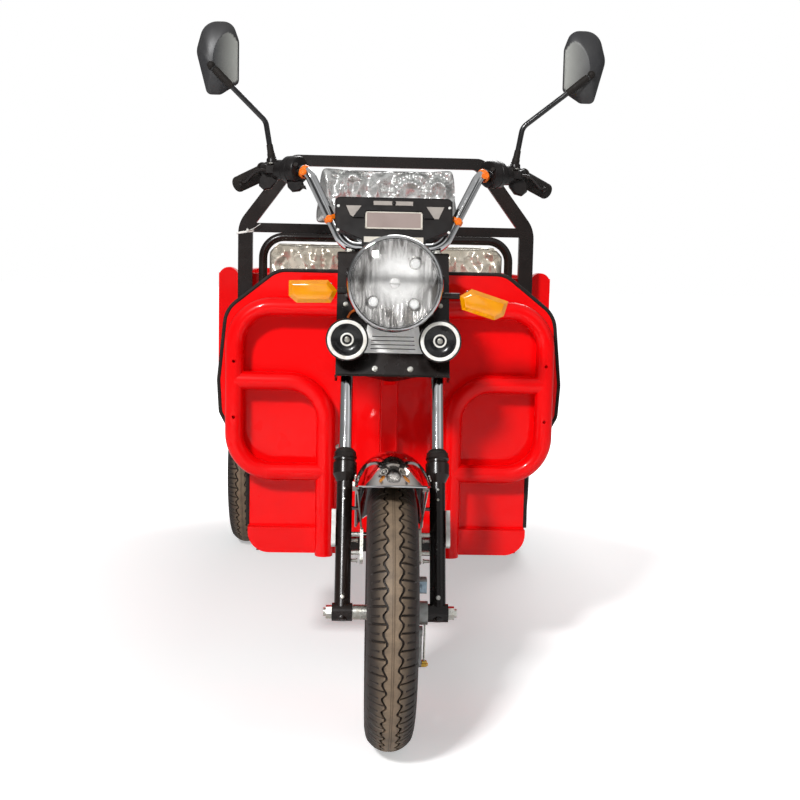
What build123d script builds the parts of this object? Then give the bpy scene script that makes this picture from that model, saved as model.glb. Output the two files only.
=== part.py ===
"""Electric cargo tricycle: one steered front wheel, two driven rear wheels, an open cargo box.

Millimetres, +Z up, ground at Z = 0. The vehicle faces -Y, so its left side is +X.
The origin is the middle of the bounding box, on the ground.
"""

import os
from math import cos, radians, sin, sqrt, tan

from build123d import *

os.makedirs("parts", exist_ok=True)

# Wheels and stations along the vehicle
tyre_radius = 250
tyre_width = 90
rim_radius = 152
wheelbase = 1690
rear_track = 820
axle_to_box = 1090
box_length = 1200
tailgate_gap = 5
tailgate_thickness = 26
overall_length = tyre_radius + axle_to_box + box_length + tailgate_gap + tailgate_thickness
front_y = tyre_radius - overall_length / 2
rear_y = front_y + wheelbase
box_front_y = front_y + axle_to_box
box_rear_y = box_front_y + box_length

# Clearances
slip = 0.3
seat_gap = 0.2
running_gap = 5

# Steering head
rake_degrees = 24
rake = radians(rake_degrees)
steering_offset = 45
fork_spacing = 178
head_tube_radius = 25
head_tube_bore = 21
stem_radius = 16
head_low = 508
head_high = 690
clamp_thickness = 26
clamp_ring_radius = 18
fork_tube_radius = 12.5
slider_radius = 15
collar_radius = 23
collar_low = 247
collar_high = 303
slider_low = -16
wheel_axle_radius = 8

# Front frame
post_y = front_y + 405
post_width = 38
post_high = 815
floor_low = 272
floor_tube = 30
floor_half_width = 280
floor_rear_y = front_y + 1012
floor_high = floor_low + floor_tube

# Leg shields and their guard tubes
shield_y = front_y + 390
sheet = 3
shield_inner_x = 96
shield_top_z = 872
shield_half_width = 360.5
shield_low_half_width = 297
shield_waist_z = 460
shield_taper = 112
shield_corner_x = 240
shield_brow_x = 346
shield_brow_z = 788
shield_side_z = 640
lip_corner = 45
lip_top_z = 328
lip_bottom_z = 273
guard_y = front_y + 350
guard_radius = 19
lip_depth = shield_y - guard_y - guard_radius - seat_gap
floor_front_y = shield_y + sheet + seat_gap
guard_outer_x = 325
guard_top_z = 799
guard_mid_z = 644
guard_low_z = 453
guard_post_x = 134
guard_bend = 80
guard_hole_radius = 3.5
guard_hole_high_z = 685
guard_hole_low_z = 568
ear_x = 45

# Seat, battery and backrests
footboard_half_width = 286
footboard_thickness = 4
footboard_rear_y = front_y + 668
seat_box_front_y = front_y + 672
seat_box_depth = 290
seat_box_width = 460
seat_box_top_z = 590
battery_side_gap = 27
battery_depth = 180
battery_height = 200
seat_base_thickness = 12
cushion_thickness = 82
cushion_width = 500
cushion_depth = 296
backrest_front_y = front_y + 974
backrest_thickness = 46

# Hoop behind the driver
hoop_y = front_y + 1038
hoop_depth = 24
hoop_tube = 37
hoop_bar = 28
hoop_top_z = 1162
hoop_top_half = 242
hoop_half_width = 384
hoop_shoulder_z = 950
cross_bar_z = 974
cross_bar_height = 24

# Cargo box
box_width = 880
floor_z = 575
box_floor_thickness = 15
frame_top_z = floor_z - box_floor_thickness - seat_gap
side_top_z = 855
side_thickness = 24
corner_post = 52
corner_top_z = 870
frame_rail_x = 220
frame_rail_width = 40
frame_rail_height = 60
hinge_pin_radius = 5
hinge_barrel_radius = 10

# Rear axle
axle_tube_radius = 30
spindle_radius = 12
motor_radius = 88
motor_length = 190
spring_inset = 125
spring_x = rear_track / 2 - spring_inset
spring_width = 45
spring_half_length = 300
spring_leaf = 7

# Handlebar and mirrors
bar_radius = 11
grip_radius = 17
bar_low_z = 923
bar_low_half = 98.5
bar_top_z = 1079
bar_top_half = 177
bar_end_z = 1054
bar_end_half = 327
mirror_left_x = 393
mirror_right_x = 367
mirror_z = 1308
mirror_width = 92
mirror_height = 149

# Headlamp group
lamp_z = 857
lamp_face_y = front_y + 80
bezel_radius = 91
horn_z = 748
horn_x = 89
horn_radius = 41
cowl_half_width = 111
cowl_wall = 3.5
cowl_low = 452
cowl_high = 712
cowl_front = 79


def raked(x, back, up):
    """Point from its side distance, its distance behind and its height along the steering axis."""
    return Vector(
        x,
        steer_foot.Y + back * cos(rake) + up * sin(rake),
        steer_foot.Z - back * sin(rake) + up * cos(rake),
    )


steer_foot = Vector(0, front_y, tyre_radius) + Vector(0, cos(rake), -sin(rake)) * steering_offset
steer_up = Vector(0, sin(rake), cos(rake))
leg_back = -steering_offset
leg_x = fork_spacing / 2


def across_steering(up):
    """Plane square to the steering axis: its x is across, its y points backward."""
    return Plane(origin=raked(0, 0, up), x_dir=(1, 0, 0), z_dir=steer_up)


def along_steering(x, back):
    """Upright plane along the steering axis, with its y up that axis."""
    return Plane(origin=raked(x, back, 0), x_dir=(1, 0, 0), z_dir=(0, -cos(rake), sin(rake)))


def upright(y):
    """Plane across the vehicle at y, seen from the front: its x is +X and its y is +Z."""
    return Plane.XZ.offset(-y)


def side_plane(x):
    """Plane along the vehicle at x: its x is +Y and its y is +Z."""
    return Plane.YZ.offset(x)


def round_tube(points, radius, bends):
    """Round tube along straight runs joined by tangent arcs."""
    with BuildPart() as piece:
        with BuildLine() as path:
            FilletPolyline(*points, radius=bends)
        route = path.wires()[0]
        with BuildSketch(Plane(origin=route @ 0, z_dir=route % 0)):
            Circle(radius)
        sweep(path=route)
    return piece.part


def straight_rod(start, end, radius):
    """Plain round rod between two points."""
    with BuildPart() as piece:
        with BuildSketch(Plane(origin=start, z_dir=Vector(*end) - Vector(*start))):
            Circle(radius)
        extrude(amount=(Vector(*end) - Vector(*start)).length)
    return piece.part


def finish(part, name):
    """Label a piece and write its file."""
    part.label = name
    export_step(part, f"parts/{name}.step")


# Wheels: a tyre on a pressed steel rim with a drum in its hub
hub_half = 36
drum_radius = 78
rim_half_width = 37
wheels = (
    ("front", 0, front_y, 1, wheel_axle_radius + slip),
    ("rear_left", rear_track / 2, rear_y, -1, spindle_radius + slip),
    ("rear_right", -rear_track / 2, rear_y, 1, spindle_radius + slip),
)
for wheel_name, wheel_x, wheel_y, drum_side, bore_radius in wheels:
    wheel_plane = Plane(
        origin=(wheel_x, wheel_y, tyre_radius), x_dir=(drum_side, 0, 0), z_dir=(0, -drum_side, 0)
    )
    wheel_axis = Axis((wheel_x, wheel_y, tyre_radius), (1, 0, 0))
    bead_half = rim_half_width - 3
    flange_radius = rim_radius + 6
    bead_top_radius = flange_radius + 1
    shoulder_half = tyre_width / 2 - 9
    shoulder_radius = tyre_radius - 17
    with BuildPart() as tyre:
        with BuildSketch(wheel_plane):
            with BuildLine():
                Polyline(
                    (-bead_half, bead_top_radius),
                    (-bead_half, rim_radius),
                    (bead_half, rim_radius),
                    (bead_half, bead_top_radius),
                )
                ThreePointArc(
                    (bead_half, bead_top_radius),
                    (tyre_width / 2, (rim_radius + shoulder_radius) / 2 + 6),
                    (shoulder_half, shoulder_radius),
                )
                ThreePointArc(
                    (shoulder_half, shoulder_radius), (0, tyre_radius), (-shoulder_half, shoulder_radius)
                )
                ThreePointArc(
                    (-shoulder_half, shoulder_radius),
                    (-tyre_width / 2, (rim_radius + shoulder_radius) / 2 + 6),
                    (-bead_half, bead_top_radius),
                )
            make_face()
        revolve(axis=wheel_axis)
    finish(tyre.part, f"tyre_{wheel_name}")

    # Rim: two flanges, a dropped well, a dished disc with windows and a hub
    well_radius = rim_radius - 16
    with BuildPart() as rim:
        with BuildSketch(wheel_plane):
            with BuildLine():
                Polyline(
                    (-rim_half_width, flange_radius),
                    (-bead_half - seat_gap, flange_radius),
                    (-bead_half - seat_gap, rim_radius - seat_gap),
                    (-16, rim_radius - seat_gap),
                    (-12, well_radius + 4),
                    (12, well_radius + 4),
                    (16, rim_radius - seat_gap),
                    (bead_half + seat_gap, rim_radius - seat_gap),
                    (bead_half + seat_gap, flange_radius),
                    (rim_half_width, flange_radius),
                    (rim_half_width, rim_radius - 4),
                    (18, rim_radius - 4),
                    (14, well_radius),
                    (3, well_radius),
                    (3, drum_radius),
                    (hub_half, drum_radius),
                    (hub_half, drum_radius - 6),
                    (6, drum_radius - 6),
                    (6, 24),
                    (hub_half, 24),
                    (hub_half, bore_radius),
                    (-hub_half, bore_radius),
                    (-hub_half, 24),
                    (-3, 40),
                    (-3, well_radius),
                    (-14, well_radius),
                    (-18, rim_radius - 4),
                    (-rim_half_width, rim_radius - 4),
                    close=True,
                )
            make_face()
        revolve(axis=wheel_axis)
        with BuildSketch(Plane(origin=(wheel_x, wheel_y, tyre_radius), x_dir=(0, 1, 0), z_dir=(1, 0, 0))):
            with PolarLocations(108, 8):
                SlotCenterToCenter(20, 22, rotation=90)
        extrude(amount=8, both=True, mode=Mode.SUBTRACT)
    finish(rim.part, f"rim_{wheel_name}")

# Steering stem: two clamps joined by the stem that turns in the head tube
lower_clamp_low = head_low - slip - 4 - clamp_thickness
upper_clamp_low = head_high + slip + 4
with BuildPart() as steering_stem:
    for clamp_low, boss_low in ((lower_clamp_low, head_low - slip - 4), (upper_clamp_low, head_high + slip)):
        with BuildSketch(across_steering(clamp_low)):
            with BuildLine():
                Polyline(
                    (-leg_x, leg_back - clamp_ring_radius),
                    (leg_x, leg_back - clamp_ring_radius),
                    (leg_x, leg_back + clamp_ring_radius),
                    (24, 22),
                    (-24, 22),
                    (-leg_x, leg_back + clamp_ring_radius),
                    close=True,
                )
            make_face()
            with Locations((-leg_x, leg_back), (leg_x, leg_back)):
                Circle(clamp_ring_radius)
            with Locations((0, 6)):
                Circle(26)
        extrude(amount=clamp_thickness)
        with BuildSketch(across_steering(boss_low)):
            Circle(head_tube_radius - 1)
        extrude(amount=4)
    with BuildSketch(across_steering(lower_clamp_low)):
        Circle(stem_radius)
    extrude(amount=upper_clamp_low - lower_clamp_low + clamp_thickness)
    with BuildSketch(across_steering(lower_clamp_low)):
        with Locations((-leg_x, leg_back), (leg_x, leg_back)):
            Circle(fork_tube_radius + seat_gap)
    extrude(amount=upper_clamp_low - lower_clamp_low + clamp_thickness, mode=Mode.SUBTRACT)
finish(steering_stem.part, "steering_stem")

# Fork tubes: bright tubes from the slider collars up through both clamps
fork_tube_high = upper_clamp_low + clamp_thickness + 1
with BuildPart() as fork_tubes:
    with BuildSketch(across_steering(collar_high)):
        with Locations((-leg_x, leg_back), (leg_x, leg_back)):
            Circle(fork_tube_radius)
    extrude(amount=fork_tube_high - collar_high)
finish(fork_tubes.part, "fork_tubes")

# Fork sliders: turned legs with a collar at the top and the axle bored through the foot
with BuildPart() as fork_sliders:
    for side in (-1, 1):
        with BuildSketch(along_steering(side * leg_x, leg_back)):
            with BuildLine():
                Polyline(
                    (0, slider_low),
                    (slider_radius - 3, slider_low),
                    (slider_radius, slider_low + 4),
                    (slider_radius, collar_low),
                    (collar_radius, collar_low + 16),
                    (collar_radius, collar_high - 18),
                    (collar_radius - 2.5, collar_high - 15),
                    (collar_radius - 2.5, collar_high - 11),
                    (collar_radius, collar_high - 8),
                    (collar_radius - 2, collar_high),
                    (0, collar_high),
                    close=True,
                )
            make_face()
        revolve(axis=Axis(raked(side * leg_x, leg_back, 0), steer_up))
        with BuildSketch(side_plane(side * (leg_x + slider_radius + 4))):
            with Locations((front_y, tyre_radius)):
                Circle(17)
        extrude(amount=-side * (2 * slider_radius + 8))
    with BuildSketch(side_plane(-leg_x - 60)):
        with Locations((front_y, tyre_radius)):
            Circle(wheel_axle_radius + seat_gap)
    extrude(amount=fork_spacing + 120, mode=Mode.SUBTRACT)
finish(fork_sliders.part, "fork_sliders")

# Front axle: a bolt with a head and a nut against the outer faces of the feet
foot_outer_x = leg_x + slider_radius + 4
axle_spacer_half = leg_x - slider_radius - 4 - seat_gap
with BuildPart() as front_axle:
    with BuildSketch(side_plane(-foot_outer_x - 16)):
        with Locations((front_y, tyre_radius)):
            Circle(wheel_axle_radius)
    extrude(amount=2 * (foot_outer_x + 16))
    for side in (-1, 1):
        with BuildSketch(side_plane(side * (foot_outer_x + seat_gap))):
            with Locations((front_y, tyre_radius)):
                RegularPolygon(13, 6)
        extrude(amount=side * 11)
    with BuildSketch(side_plane(-axle_spacer_half)):
        with Locations((front_y, tyre_radius)):
            Circle(14)
    extrude(amount=axle_spacer_half - hub_half - slip)
finish(front_axle.part, "front_axle")

# Front brake plate: a dished cover that closes the drum, held from turning by the slider
plate_inner_x = hub_half + slip
plate_x = hub_half + running_gap
with BuildPart() as front_brake_plate:
    with BuildSketch(side_plane(plate_x)):
        with Locations((front_y, tyre_radius)):
            Circle(drum_radius - 1)
    extrude(amount=6)
    fillet(front_brake_plate.edges().filter_by(GeomType.CIRCLE).sort_by(Axis.X)[-1:], 3)
    with BuildSketch(side_plane(plate_inner_x)):
        with Locations((front_y, tyre_radius)):
            Circle(22)
    extrude(amount=axle_spacer_half - plate_inner_x)
    with BuildSketch(side_plane(plate_x)):
        with Locations((front_y - 34, tyre_radius + 62)):
            RectangleRounded(30, 26, 4)
    extrude(amount=24)
    with BuildSketch(side_plane(plate_x)):
        with Locations((front_y + 30, tyre_radius - 44)):
            Circle(10)
    extrude(amount=22)
    arm_length = 62
    with BuildSketch(side_plane(plate_x + 16)):
        with Locations((front_y + 30, tyre_radius - 44 - arm_length / 2)):
            SlotCenterToCenter(arm_length, 16, rotation=90)
    extrude(amount=5)
    with BuildSketch(side_plane(plate_x - 1)):
        with Locations((front_y, tyre_radius)):
            Circle(wheel_axle_radius + seat_gap)
    extrude(amount=60, both=True, mode=Mode.SUBTRACT)
finish(front_brake_plate.part, "front_brake_plate")

# Front mudguard: a domed strip over the tyre, its nose cut by a nearly level plane
mudguard_radius = 300
mudguard_edge_radius = 245
mudguard_half_width = 67.5
mudguard_sheet = 2.5
mudguard_nose_z = 494
mudguard_front_turn = 50
mudguard_rear_turn = 62
wheel_centre = Vector(0, front_y, tyre_radius)
front_turn = radians(mudguard_front_turn)
with BuildPart() as front_mudguard:
    with BuildSketch(
        Plane(origin=wheel_centre, x_dir=(1, 0, 0), z_dir=(0, -cos(front_turn), -sin(front_turn)))
    ):
        with BuildLine():
            ThreePointArc(
                (-mudguard_half_width, mudguard_edge_radius),
                (0, mudguard_radius),
                (mudguard_half_width, mudguard_edge_radius),
            )
            Line(
                (mudguard_half_width, mudguard_edge_radius),
                (mudguard_half_width - mudguard_sheet, mudguard_edge_radius),
            )
            ThreePointArc(
                (mudguard_half_width - mudguard_sheet, mudguard_edge_radius),
                (0, mudguard_radius - mudguard_sheet),
                (mudguard_sheet - mudguard_half_width, mudguard_edge_radius),
            )
            Line(
                (mudguard_sheet - mudguard_half_width, mudguard_edge_radius),
                (-mudguard_half_width, mudguard_edge_radius),
            )
        make_face()
    revolve(
        axis=Axis(wheel_centre, (-1, 0, 0)),
        revolution_arc=mudguard_front_turn + mudguard_rear_turn,
    )
    with BuildSketch(
        Plane(origin=(0, front_y - 30, mudguard_nose_z), x_dir=(1, 0, 0), z_dir=(0, -0.183, -1))
    ):
        with Locations((0, 150)):
            Rectangle(200, 300)
    extrude(amount=300, mode=Mode.SUBTRACT)
finish(front_mudguard.part, "front_mudguard")

# Mudguard stays: brackets, bolted plates and thin rods between the sliders and the mudguard
stay_plate_x = 55
bracket_half = 20
bracket_high = sqrt(mudguard_edge_radius**2 - bracket_half**2) - slip
bracket_height = 9
with BuildPart() as mudguard_stays:
    for side in (-1, 1):
        slider_face = side * (leg_x - slider_radius - seat_gap)
        bracket_inner = side * (mudguard_half_width - 6)
        with BuildSketch(along_steering(0, leg_back + bracket_half)):
            with Locations(((bracket_inner + slider_face) / 2, bracket_high - bracket_height / 2)):
                Rectangle(abs(slider_face - bracket_inner), bracket_height)
        extrude(amount=2 * bracket_half)
        with BuildSketch(side_plane(side * (stay_plate_x - 3))):
            with Locations(Location((front_y + 54, 363), -rake_degrees)):
                RectangleRounded(26, 66, 5)
        extrude(amount=side * 6)
        for boss_z in (352, 384):
            with BuildSketch(side_plane(side * stay_plate_x)):
                with Locations((front_y + (boss_z - tyre_radius) * tan(rake), boss_z)):
                    Circle(4.5)
            extrude(amount=side * (leg_x - slider_radius - seat_gap - stay_plate_x))
        add(
            straight_rod(
                (side * stay_plate_x, front_y + 64, 386), (side * (mudguard_half_width - 4), front_y - 22, 484), 2
            )
        )
finish(mudguard_stays.part, "mudguard_stays")

# Fork reflectors: narrow plates on the outer faces of the sliders
reflector_thickness = 8
with BuildPart() as fork_reflectors:
    for side in (-1, 1):
        with BuildSketch(side_plane(side * (leg_x + slider_radius + seat_gap))):
            with Locations(Location((front_y + 64, 395), -rake_degrees)):
                RectangleRounded(22, 70, 4)
        extrude(amount=side * reflector_thickness)
finish(fork_reflectors.part, "fork_reflectors")

# Head frame: the head tube, the post behind it, the web between them and the stub for the guards
with BuildPart() as head_frame:
    with BuildSketch(across_steering(head_low)):
        Circle(head_tube_radius)
    extrude(amount=head_high - head_low)
    with BuildSketch(Plane.XY.offset(floor_high + seat_gap)):
        with Locations((0, post_y)):
            RectangleRounded(post_width, post_width, 4)
    extrude(amount=post_high - floor_high - seat_gap)
    web_low = raked(0, 0, head_low + 16)
    web_high = raked(0, 0, head_high - 14)
    with BuildSketch(side_plane(-12)):
        with BuildLine():
            Polyline(
                (web_low.Y, web_low.Z),
                (web_high.Y, web_high.Z),
                (post_y, post_high),
                (post_y, post_high - 190),
                close=True,
            )
        make_face()
    extrude(amount=24)
    with BuildSketch(side_plane(-ear_x)):
        with Locations((guard_y, guard_top_z)):
            Circle(guard_radius)
    extrude(amount=2 * ear_x)
    with BuildSketch(across_steering(head_low - 5)):
        Circle(head_tube_bore)
    extrude(amount=head_high - head_low + 10, mode=Mode.SUBTRACT)
finish(head_frame.part, "head_frame")

# Floor frame: a ladder of square tubes under the footboard with uprights at the back
upright_y = floor_rear_y - floor_tube
with BuildPart() as floor_frame:
    with BuildSketch(Plane.XY.offset(floor_low)):
        with Locations((0, floor_front_y + floor_tube / 2)):
            Rectangle(2 * floor_half_width, floor_tube)
        for beam_y in (seat_box_front_y + floor_tube, upright_y):
            with Locations((0, beam_y + floor_tube / 2)):
                Rectangle(2 * frame_rail_x, floor_tube)
        for side in (-1, 1):
            with Locations((side * frame_rail_x, (floor_front_y + floor_rear_y) / 2)):
                Rectangle(floor_tube, floor_rear_y - floor_front_y)
    extrude(amount=floor_tube)
    with BuildSketch(Plane.XY.offset(floor_low)):
        with Locations((-frame_rail_x, upright_y + floor_tube / 2), (frame_rail_x, upright_y + floor_tube / 2)):
            Rectangle(floor_tube, floor_tube)
    extrude(amount=frame_top_z - frame_rail_height - seat_gap - floor_low)
finish(floor_frame.part, "floor_frame")

# Cargo frame: two rails with cross beams, spring hangers and the tailgate's hinge lugs
frame_front_y = floor_rear_y - floor_tube
hinge_y = box_rear_y + tailgate_gap + tailgate_thickness / 2
hinge_z = floor_z - 9
hinge_x = 300
lug_inner = 20.5
lug_thickness = 9
lug_radius = 8
spring_front_y = rear_y - spring_half_length
spring_rear_y = rear_y + spring_half_length
eye_radius = 14
leaf_count = 4
spring_rise = 100
spring_radius = (spring_half_length**2 + spring_rise**2) / (2 * spring_rise)
spring_bottom_z = tyre_radius + axle_tube_radius + 8
spring_centre_z = spring_bottom_z + spring_radius + leaf_count * spring_leaf
eye_z = spring_centre_z - sqrt(spring_radius**2 - spring_half_length**2) - spring_leaf / 2
cross_height = 36
with BuildPart() as cargo_frame:
    with BuildSketch(Plane.XY.offset(frame_top_z - frame_rail_height)):
        for side in (-1, 1):
            with Locations((side * frame_rail_x, (frame_front_y + box_rear_y) / 2)):
                Rectangle(frame_rail_width, box_rear_y - frame_front_y)
    extrude(amount=frame_rail_height)
    with BuildSketch(Plane.XY.offset(frame_top_z - cross_height)):
        with Locations((0, (frame_front_y + hoop_y + hoop_depth / 2 + 4) / 2)):
            Rectangle(2 * hoop_half_width, hoop_y + hoop_depth / 2 + 4 - frame_front_y)
        with Locations((0, spring_front_y), (0, spring_rear_y)):
            Rectangle(2 * (spring_x + 30), 40)
        with Locations((0, box_rear_y - 20)):
            Rectangle(box_width - 2 * side_thickness - 10, 40)
    extrude(amount=cross_height)
    for side in (-1, 1):
        for eye_y in (spring_front_y, spring_rear_y):
            with BuildSketch(upright(eye_y + 16)):
                with Locations((side * spring_x, (frame_top_z - cross_height + eye_z - eye_radius) / 2)):
                    Rectangle(spring_width + 14, frame_top_z - cross_height - eye_z + eye_radius)
                with Locations((side * spring_x, eye_z)):
                    Rectangle(spring_width + 1, 2 * (eye_radius + slip), mode=Mode.SUBTRACT)
            extrude(amount=32)
    for hinge_place in (-hinge_x, 0, hinge_x):
        for side in (-1, 1):
            with BuildSketch(side_plane(hinge_place + side * lug_inner)):
                with Locations((hinge_y, hinge_z)):
                    Circle(lug_radius)
                with BuildLine():
                    Polyline(
                        (box_rear_y - 2, frame_top_z - 24),
                        (box_rear_y + 2, frame_top_z - lug_radius),
                        (hinge_y, hinge_z - lug_radius),
                        (hinge_y, hinge_z + lug_radius),
                        (box_rear_y + seat_gap, frame_top_z),
                        (box_rear_y - 2, frame_top_z),
                        close=True,
                    )
                make_face()
            extrude(amount=side * lug_thickness)
        with BuildSketch(side_plane(hinge_place - lug_inner)):
            with Locations((hinge_y, hinge_z)):
                Circle(hinge_pin_radius)
        extrude(amount=2 * lug_inner)
finish(cargo_frame.part, "cargo_frame")

# Leg shields: pressed sheets with a folded inner edge and a deep lip at the bottom
for side, side_name in ((1, "left"), (-1, "right")):
    shield_points = (
        (side * shield_inner_x, lip_bottom_z),
        (side * shield_inner_x, shield_top_z),
        (side * shield_corner_x, shield_top_z),
        (side * shield_brow_x, shield_brow_z),
        (side * shield_half_width, shield_side_z),
        (side * (shield_half_width - 4), shield_waist_z + shield_taper),
        (side * shield_low_half_width, shield_waist_z),
        (side * shield_low_half_width, lip_bottom_z),
    )
    shield_radii = (0, 0, 55, 60, 60, 25, 30, lip_corner)
    flange_low_z = floor_high + seat_gap
    with BuildPart() as leg_shield:
        with BuildSketch(upright(shield_y)) as shield_face:
            with BuildLine():
                Polyline(*shield_points, close=True)
            make_face()
            for corner, corner_radius in zip(shield_points, shield_radii):
                if corner_radius:
                    fillet(
                        shield_face.vertices().sort_by_distance((corner[0], corner[1], 0))[0],
                        corner_radius,
                    )
        extrude(amount=-sheet)
        with BuildSketch(upright(shield_y)):
            with BuildLine():
                Polyline(
                    (side * shield_inner_x, lip_bottom_z),
                    (side * shield_inner_x, lip_top_z),
                    (side * shield_low_half_width, lip_top_z),
                    (side * shield_low_half_width, lip_bottom_z + lip_corner),
                )
                RadiusArc(
                    (side * shield_low_half_width, lip_bottom_z + lip_corner),
                    (side * (shield_low_half_width - lip_corner), lip_bottom_z),
                    side * lip_corner,
                )
                Line(
                    (side * (shield_low_half_width - lip_corner), lip_bottom_z),
                    (side * shield_inner_x, lip_bottom_z),
                )
            make_face()
        extrude(amount=lip_depth)
        with BuildSketch(upright(shield_y)):
            with Locations((side * (shield_inner_x + sheet / 2), (flange_low_z + shield_top_z) / 2)):
                Rectangle(sheet, shield_top_z - flange_low_z)
        extrude(amount=-(post_y + post_width / 2 + sheet - shield_y))
        with BuildSketch(upright(shield_y + sheet)):
            with Locations(
                ((side * (shield_inner_x + shield_low_half_width) / 2), (lip_bottom_z + lip_top_z) / 2)
            ):
                Rectangle(
                    shield_low_half_width - shield_inner_x - 30,
                    lip_top_z - lip_bottom_z - 2 * sheet,
                )
        extrude(amount=lip_depth, mode=Mode.SUBTRACT)
    finish(leg_shield.part, f"leg_shield_{side_name}")

# Centre panel: the sheet between the leg shields, behind the post
with BuildPart() as centre_panel:
    with BuildSketch(upright(post_y + post_width / 2 + seat_gap)):
        with Locations((0, (floor_high + shield_top_z) / 2)):
            Rectangle(2 * (shield_inner_x - seat_gap), shield_top_z - floor_high - 12)
    extrude(amount=-sheet)
finish(centre_panel.part, "centre_panel")

# Guard tubes: an outer loop, a bowed middle tube and a post down to the shield's lip
for side, side_name in ((1, "left"), (-1, "right")):
    outer_loop = round_tube(
        (
            (side * (ear_x + seat_gap), guard_y, guard_top_z),
            (side * guard_outer_x, guard_y, guard_top_z),
            (side * guard_outer_x, guard_y, guard_low_z),
            (side * guard_post_x, guard_y, guard_low_z),
        ),
        guard_radius,
        guard_bend,
    )
    inner_loop = round_tube(
        (
            (side * guard_outer_x, guard_y, guard_mid_z),
            (side * guard_post_x, guard_y, guard_mid_z),
            (side * guard_post_x, guard_y, lip_bottom_z),
        ),
        guard_radius,
        guard_bend,
    )
    with BuildPart() as guard:
        add(outer_loop)
        add(inner_loop)
        with BuildSketch(upright(guard_y + guard_radius)):
            with Locations((side * guard_outer_x, guard_hole_high_z), (side * guard_outer_x, guard_hole_low_z)):
                Circle(guard_hole_radius)
        extrude(amount=2 * guard_radius, mode=Mode.SUBTRACT)
    finish(guard.part, f"guard_{side_name}")

# Footboard: a flat sheet with turned-up sides between the shields and the seat box
footboard_front_y = post_y + post_width / 2 + sheet + 2 * seat_gap
with BuildPart() as footboard:
    with BuildSketch(Plane.XY.offset(floor_high + seat_gap)):
        with Locations((0, (footboard_front_y + footboard_rear_y) / 2)):
            Rectangle(2 * footboard_half_width, footboard_rear_y - footboard_front_y)
    extrude(amount=footboard_thickness)
    for side in (-1, 1):
        with BuildSketch(Plane.XY.offset(floor_high + seat_gap)):
            with Locations(
                (side * (footboard_half_width - 2), (footboard_front_y + footboard_rear_y) / 2)
            ):
                Rectangle(4, footboard_rear_y - footboard_front_y)
        extrude(amount=26)
finish(footboard.part, "footboard")

# Seat box: an open steel box on the floor frame with hinge lugs at its front edge
seat_box_y = seat_box_front_y + seat_box_depth / 2
seat_box_low_z = floor_high + seat_gap
seat_hinge_y = seat_box_front_y - 11
seat_hinge_z = seat_box_top_z - 5
seat_hinge_x = 150
seat_pin_radius = 4
seat_barrel_radius = 8
with BuildPart() as seat_box:
    with BuildSketch(Plane.XY.offset(seat_box_low_z)):
        with Locations((0, seat_box_y)):
            RectangleRounded(seat_box_width, seat_box_depth, 12)
    extrude(amount=seat_box_top_z - seat_box_low_z)
    with BuildSketch(Plane.XY.offset(seat_box_low_z + sheet)):
        with Locations((0, seat_box_y)):
            RectangleRounded(seat_box_width - 2 * sheet, seat_box_depth - 2 * sheet, 9)
    extrude(amount=seat_box_top_z - seat_box_low_z, mode=Mode.SUBTRACT)
    for hinge_place in (-seat_hinge_x, seat_hinge_x):
        for side in (-1, 1):
            with BuildSketch(side_plane(hinge_place + side * lug_inner)):
                with Locations((seat_hinge_y, seat_hinge_z)):
                    Circle(seat_barrel_radius)
                with Locations(((seat_hinge_y + seat_box_front_y + 1) / 2, seat_hinge_z - 6)):
                    Rectangle(seat_box_front_y + 1 - seat_hinge_y, 12)
            extrude(amount=side * 6)
        with BuildSketch(side_plane(hinge_place - lug_inner)):
            with Locations((seat_hinge_y, seat_hinge_z)):
                Circle(seat_pin_radius)
        extrude(amount=2 * lug_inner)
finish(seat_box.part, "seat_box")

# Battery pack: one plain block on the floor of the seat box
battery_width = seat_box_width - 2 * sheet - 2 * battery_side_gap
with BuildPart() as battery_pack:
    with BuildSketch(Plane.XY.offset(seat_box_low_z + sheet + seat_gap)):
        with Locations((0, seat_box_y)):
            Rectangle(battery_width, battery_depth)
    extrude(amount=battery_height)
finish(battery_pack.part, "battery_pack")

# Seat base and cushion, hinged at the front edge of the seat box
base_low_z = seat_box_top_z + 0.5
base_front_y = seat_hinge_y + seat_barrel_radius + 1
base_rear_y = seat_hinge_y + cushion_depth
with BuildPart() as seat_base:
    with BuildSketch(Plane.XY.offset(base_low_z)):
        with Locations((0, (base_front_y + base_rear_y) / 2)):
            RectangleRounded(cushion_width - 20, base_rear_y - base_front_y, 14)
    extrude(amount=seat_base_thickness)
    for hinge_place in (-seat_hinge_x, seat_hinge_x):
        with BuildSketch(side_plane(hinge_place - lug_inner + 0.5)):
            with BuildLine():
                Polyline(
                    (seat_hinge_y - 6, seat_hinge_z + 5),
                    (seat_hinge_y - 6, base_low_z + seat_base_thickness),
                    (base_front_y + 16, base_low_z + seat_base_thickness),
                    (base_front_y + 16, base_low_z),
                    (seat_hinge_y + 6, base_low_z),
                    (seat_hinge_y + 6, seat_hinge_z),
                    close=True,
                )
            make_face()
            with Locations((seat_hinge_y, seat_hinge_z)):
                Circle(seat_barrel_radius)
            with Locations((seat_hinge_y, seat_hinge_z)):
                Circle(seat_pin_radius + slip, mode=Mode.SUBTRACT)
        extrude(amount=2 * lug_inner - 1)
finish(seat_base.part, "seat_base")

with BuildPart() as seat_cushion:
    with BuildSketch(Plane.XY.offset(base_low_z + seat_base_thickness + seat_gap)):
        with Locations((0, (seat_hinge_y - 8 + base_rear_y) / 2)):
            RectangleRounded(cushion_width, base_rear_y - seat_hinge_y + 8, 40)
    extrude(amount=cushion_thickness)
    fillet(seat_cushion.faces().sort_by(Axis.Z)[-1].edges(), 22)
finish(seat_cushion.part, "seat_cushion")

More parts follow.
